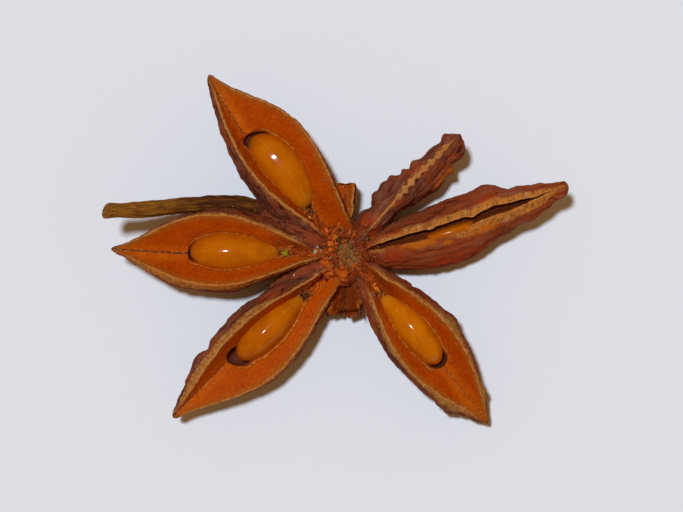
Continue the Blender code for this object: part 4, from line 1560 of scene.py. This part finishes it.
def husk(colours):
    """The husk's material, made the first time it is asked for."""
    return bpy.data.materials.get("husk_skin") or husk_material(groups(), colours)


class ArmOperator(PieceOperator):
    """Builds arms of the star, each from its own random numbers."""

    arms = ()
    first = 0                 # number of the first arm among the random numbers
    prefix = "follicle_"

    def build(self, sizes, colours):
        for number, arm in enumerate(self.arms, self.first):
            build_follicle(arm, number, self.prefix + arm.name, sizes, husk(colours))


class POD_OT_open_follicles(ArmOperator):
    """Build the four follicles that lie wide open."""

    bl_idname = "pod.open_follicles"
    bl_label = "Open follicles"
    arms = FOLLICLES[:4]


class POD_OT_narrow_follicles(ArmOperator):
    """Build the follicle that is a slit and the one that stayed closed."""

    bl_idname = "pod.narrow_follicles"
    bl_label = "Slit and closed follicles"
    arms = FOLLICLES[4:]
    first = 4


class POD_OT_stumps(ArmOperator):
    """Build the two broken follicles."""

    bl_idname = "pod.stumps"
    bl_label = "Broken stumps"
    arms = STUMPS
    first = 8
    prefix = "stump_"


class POD_OT_shoulders(PieceOperator):
    """Build the lobes where the walls of neighbouring follicles join."""

    bl_idname = "pod.shoulders"
    bl_label = "Shoulders"

    def build(self, sizes, colours):
        for number in range(len(SHOULDERS)):
            grid, marks = shoulder_grid(number)
            name = f"shoulder_{number + 1}"
            add_husk(name, grid_mesh(name, to_world(grid), marks), husk(colours))


class POD_OT_core(PieceOperator):
    """Build the corky middle of the star."""

    bl_idname = "pod.core"
    bl_label = "Core"

    def build(self, sizes, colours):
        grid, marks = core_grid()
        mesh = grid_mesh("core", to_world(grid), marks)
        add_husk("core", mesh, core_material(groups(), colours))


class POD_OT_stalk(PieceOperator):
    """Build the stalk."""

    bl_idname = "pod.stalk"
    bl_label = "Stalk"

    def build(self, sizes, colours):
        grid, marks = stalk_grid(sizes)
        mesh = grid_mesh("stalk", to_world(grid), marks)
        add_husk("stalk", mesh, stalk_material(groups(), colours))


class POD_OT_seeds(PieceOperator):
    """Build the five seeds."""

    bl_idname = "pod.seeds"
    bl_label = "Seeds"

    def build(self, sizes, colours):
        coat = seed_material(groups(), colours)
        for number, seed in enumerate(SEEDS):
            grid, marks = seed_grid(seed, number)
            name = "kernel_" + seed.arm
            mesh = grid_mesh(name, to_world(grid, arm_named(seed.arm).heading), marks)
            add_piece(name, mesh, coat, "seed", seed.name)


class POD_OT_shreds(PieceOperator):
    """Build the torn fibres that run from the seeds to the core and round it."""

    bl_idname = "pod.shreds"
    bl_label = "Shreds"

    def build(self, sizes, colours):
        draw = np.random.default_rng(RANDOM["shreds"])
        lumps = []
        for seed in SEEDS[:4]:
            heading = arm_named(seed.arm).heading
            inner = seed.along - 0.5 * seed.length
            for _ in range(sizes.shreds):
                s = draw.uniform(1.3, inner - 0.1)
                t = seed_line(seed, s) + draw.normal(0, 0.1 + 0.12 * ease(1.0, 4.0, s))
                z = resting_height(seed.arm, s, t)[0] + draw.uniform(-0.05, 0.12)
                size = (draw.uniform(0.12, 0.42), draw.uniform(0.05, 0.11),
                        draw.uniform(0.05, 0.12))
                tint = between(colours.shred_dark, colours.shred, draw.uniform() ** 0.8)
                lumps.append((from_axis(seed.arm, s, t, z), size, tint, heading))
        for _ in range(sizes.shreds):
            way = draw.uniform(75, 315)      # none towards the slit
            out = 1.3 + 1.2 * draw.uniform() ** 1.4
            top = PIT_HEIGHT + RING_RISE - RING_FALL * ease(1.9, CORE_RADIUS, out)
            place = round_core(out, math.radians(way), top + 0.03 + draw.normal(0, 0.08))
            size = draw.uniform(0.3, 1.1) * np.array([0.36, 0.2, 0.11])
            bright = draw.uniform() * (0.7 + 0.5 * math.cos(math.radians(way - 135)))
            tint = between(colours.shred_dark, colours.shred, min(1.0, bright))
            if draw.uniform() < 0.2:
                size, tint = 0.5 * size, between(colours.crumb, colours.core, draw.uniform())
            lumps.append((place, size, tint, way))
        mesh = lumps_mesh("shreds", lumps, draw)
        add_husk("shreds", mesh, bits_material("shred_fibre", 0.6))


BITS = (                      # follicle, along, aside, height or None, size, colour
    ("b", 5.42, -0.02, None, (0.34, 0.36, 0.42), "bit_green"),
    ("b", 5.1, 0.3, None, (0.16, 0.12, 0.2), "crumb_pale"),
    ("b", 5.66, 0.4, None, (0.18, 0.1, 0.22), "crumb_pale"),
    ("b", 5.05, -0.3, None, (0.16, 0.13, 0.2), "crumb_pale"),
    ("b", 3.0, 0.1, 5.5, (0.11, 0.1, 0.1), "bit_orange"),
    ("a", 1.75, -0.1, 5.42, (0.42, 0.3, 0.14), "shred"),
    ("a", 2.7, 0.15, 5.3, (0.4, 0.22, 0.14), "shred"),
    ("d", 4.1, 0.0, 5.35, (0.42, 0.2, 0.14), "bit_orange"),
    ("d", 3.6, 0.02, 5.3, (0.3, 0.17, 0.12), "shred"),
    ("a", 4.5, 0.6, None, (0.2, 0.12, 0.12), "bit_yellow"),
    ("b", 2.78, -0.2, 5.62, (0.4, 0.2, 0.18), "bit_grey"),
    ("b", 2.33, -0.24, 5.62, (0.14, 0.1, 0.12), "bit_grey"),
    # a pale bit where a white glint shows on the shoulder: a painted highlight
    ("b", 4.6, 1.95, 5.2, (0.12, 0.09, 0.1), "bit_grey"),
    ("c", 5.1, 0.25, None, (0.25, 0.2, 0.16), "crumb"),
    ("c", 3.4, 0.7, None, (0.14, 0.1, 0.09), "crumb_pale"),
    ("a", 6.25, -2.4, None, (0.18, 0.14, 0.06), "crumb_pale"),
    ("a", 5.0, 0.2, None, (0.24, 0.16, 0.14), "crumb"),
    ("d", 4.85, 0.1, None, (0.12, 0.1, 0.1), "crumb_pale"),
)


class POD_OT_crumbs(PieceOperator):
    """Build the crumbs at the seeds' inner ends and round the core."""

    bl_idname = "pod.crumbs"
    bl_label = "Crumbs"

    def build(self, sizes, colours):
        draw = np.random.default_rng(RANDOM["crumbs"])
        lumps = []
        for arm, s, t, z, size, colour in BITS:
            if z is None:
                z = floor_under(arm, s, t) + 0.4 * size[2]
            lumps.append((from_axis(arm, s, t, z), size, getattr(colours, colour), None))
        for seed in SEEDS[:4]:
            inner = seed.along - 0.5 * seed.length
            for _ in range(sizes.crumbs):
                s = inner + draw.normal(-0.2, 0.32)
                t = seed_line(seed, s) + draw.normal(0, 0.3)
                z = floor_under(seed.arm, s, t) + draw.normal(0, 0.05)
                size = draw.uniform(0.05, 0.13) * draw.uniform(0.5, 1.6, 3)
                tint = between(colours.crumb, colours.crumb_pale, draw.uniform())
                lumps.append((from_axis(seed.arm, s, t, z), size, tint, None))
        for _ in range(3 * sizes.crumbs):
            way = draw.uniform(0, 2 * math.pi)
            out = draw.uniform(0.1, 2.3)
            top = PIT_HEIGHT + RING_RISE * ease(0.85, 1.5, out)
            place = round_core(out, way, top + draw.normal(0, 0.1))
            size = draw.uniform(0.06, 0.17) * draw.uniform(0.6, 1.6, 3)
            tint = between(colours.crumb, colours.crumb_pale, draw.uniform())
            lumps.append((place, size, tint, None))
        mesh = lumps_mesh("crumbs", lumps, draw)
        add_husk("crumbs", mesh, bits_material("crumb_bits", 0.65))


class POD_OT_dust(PieceOperator):
    """Scatter pale specks over the husk."""

    bl_idname = "pod.dust"
    bl_label = "Dust"

    def build(self, sizes, colours):
        draw = np.random.default_rng(RANDOM["dust"])
        lumps = []
        for name in sorted(SURFACES):
            _, world, normal, marks = SURFACES[name]
            close = np.exp(-np.minimum(np.abs(marks["rim"]), np.abs(marks["pocket"])) / 0.25)
            weight = (normal[..., 2] > 0.1) * (marks["rim"] > -3.0) * (close + 0.12)
            weight = weight.ravel() / weight.sum()
            picked = draw.choice(weight.size, sizes.dust, replace=False, p=weight)
            for spot, way in zip(world.reshape(-1, 3)[picked], normal.reshape(-1, 3)[picked]):
                size = 0.018 + 0.045 * draw.uniform() ** 3
                place = ((spot - np.array([CENTRE.x, CENTRE.y, 0.0])) / MM
                         + way * size * 0.3)
                tint = between(colours.band, colours.dust_speck, draw.uniform())
                lumps.append((place, size * draw.uniform(0.5, 1.5, 3), tint, None))
        mesh = lumps_mesh("dust_specks", lumps, draw, fineness=1)
        add_husk("dust_specks", mesh, bits_material("pale_dust", 0.8))


FLOOR_REACH = 1.2         # metres from the floor's middle to its edge
SUN_SIDE = (-0.66, 0.75)  # the side that the main light comes from
AIM = (-0.48, -0.18)      # where the camera looks, from the star's centre, in mm


class POD_OT_stage(bpy.types.Operator):
    """Build the floor, lights and camera."""

    bl_idname = "pod.stage"
    bl_label = "Stage"

    def execute(self, context):
        stage = context.scene.pod_stage
        shape = bmesh.new()
        bmesh.ops.create_grid(shape, x_segments=8, y_segments=8, size=FLOOR_REACH)
        mesh = bpy.data.meshes.new("floor")
        shape.to_mesh(mesh)
        shape.free()
        floor = bpy.data.objects.new("floor", mesh)
        context.scene.collection.objects.link(floor)
        mesh.materials.append(floor_material(stage))

        lamp = bpy.data.lights.new("sun", "SUN")
        lamp.energy = stage.sun
        lamp.angle = stage.sun_size
        lamp.color = stage.sun_tint
        sun = bpy.data.objects.new("sun", lamp)
        context.scene.collection.objects.link(sun)
        reach = math.cos(stage.sun_height)
        way = Vector((SUN_SIDE[0] * reach, SUN_SIDE[1] * reach, math.sin(stage.sun_height)))
        sun.rotation_euler = way.to_track_quat("Z", "Y").to_euler()

        world = bpy.data.worlds.new("soft_light")
        context.scene.world = world
        world.use_nodes = True
        air = Graph(world.node_tree)
        glow = tuple(stage.sky * value for value in stage.sky_tint)
        seen = air.node("ShaderNodeLightPath").outputs["Is Camera Ray"]
        air.feed(world.node_tree.nodes["Background"].inputs["Color"],
                 air.blend(seen, glow, stage.backdrop))

        lens = bpy.data.cameras.new("camera")
        lens.lens = stage.lens
        lens.sensor_width = 36.0
        lens.clip_start = 0.01
        camera = bpy.data.objects.new("camera", lens)
        context.scene.collection.objects.link(camera)
        camera.location = (CENTRE.x + AIM[0] * MM, CENTRE.y + AIM[1] * MM, stage.distance)
        context.scene.camera = camera
        context.scene.view_settings.view_transform = "Standard"
        return {"FINISHED"}


class POD_PT_panel(bpy.types.Panel):
    """The pod's sizes, colours and operators."""

    bl_idname = "POD_PT_panel"
    bl_label = "Star Anise Pod"
    bl_space_type = "VIEW_3D"
    bl_region_type = "UI"
    bl_category = "Star Anise"

    def draw(self, context):
        for title, settings in (("Sizes", context.scene.pod_sizes),
                                ("Colours", context.scene.pod_colours),
                                ("Stage", context.scene.pod_stage)):
            box = self.layout.box()
            box.label(text=title)
            for key in settings.__annotations__:
                box.prop(settings, key)
        for step in STEPS:
            self.layout.operator(step.bl_idname)


STEPS = (POD_OT_stage, POD_OT_open_follicles, POD_OT_narrow_follicles, POD_OT_stumps,
         POD_OT_shoulders, POD_OT_core, POD_OT_stalk, POD_OT_seeds, POD_OT_shreds,
         POD_OT_crumbs, POD_OT_dust)
CLASSES = (POD_PG_sizes, POD_PG_colours, POD_PG_stage) + STEPS + (POD_PT_panel,)


def register():
    """Register the classes and hang the settings on the scene."""
    for item in CLASSES:
        bpy.utils.register_class(item)
    bpy.types.Scene.pod_sizes = PointerProperty(type=POD_PG_sizes)
    bpy.types.Scene.pod_colours = PointerProperty(type=POD_PG_colours)
    bpy.types.Scene.pod_stage = PointerProperty(type=POD_PG_stage)


def unregister():
    """Take everything off again."""
    del bpy.types.Scene.pod_stage
    del bpy.types.Scene.pod_colours
    del bpy.types.Scene.pod_sizes
    for item in reversed(CLASSES):
        bpy.utils.unregister_class(item)


def main():
    """Register the add-on and build the whole pod."""
    register()
    for step in STEPS:
        family, action = step.bl_idname.split(".")
        getattr(getattr(bpy.ops, family), action)()


if __name__ == "__main__":
    main()
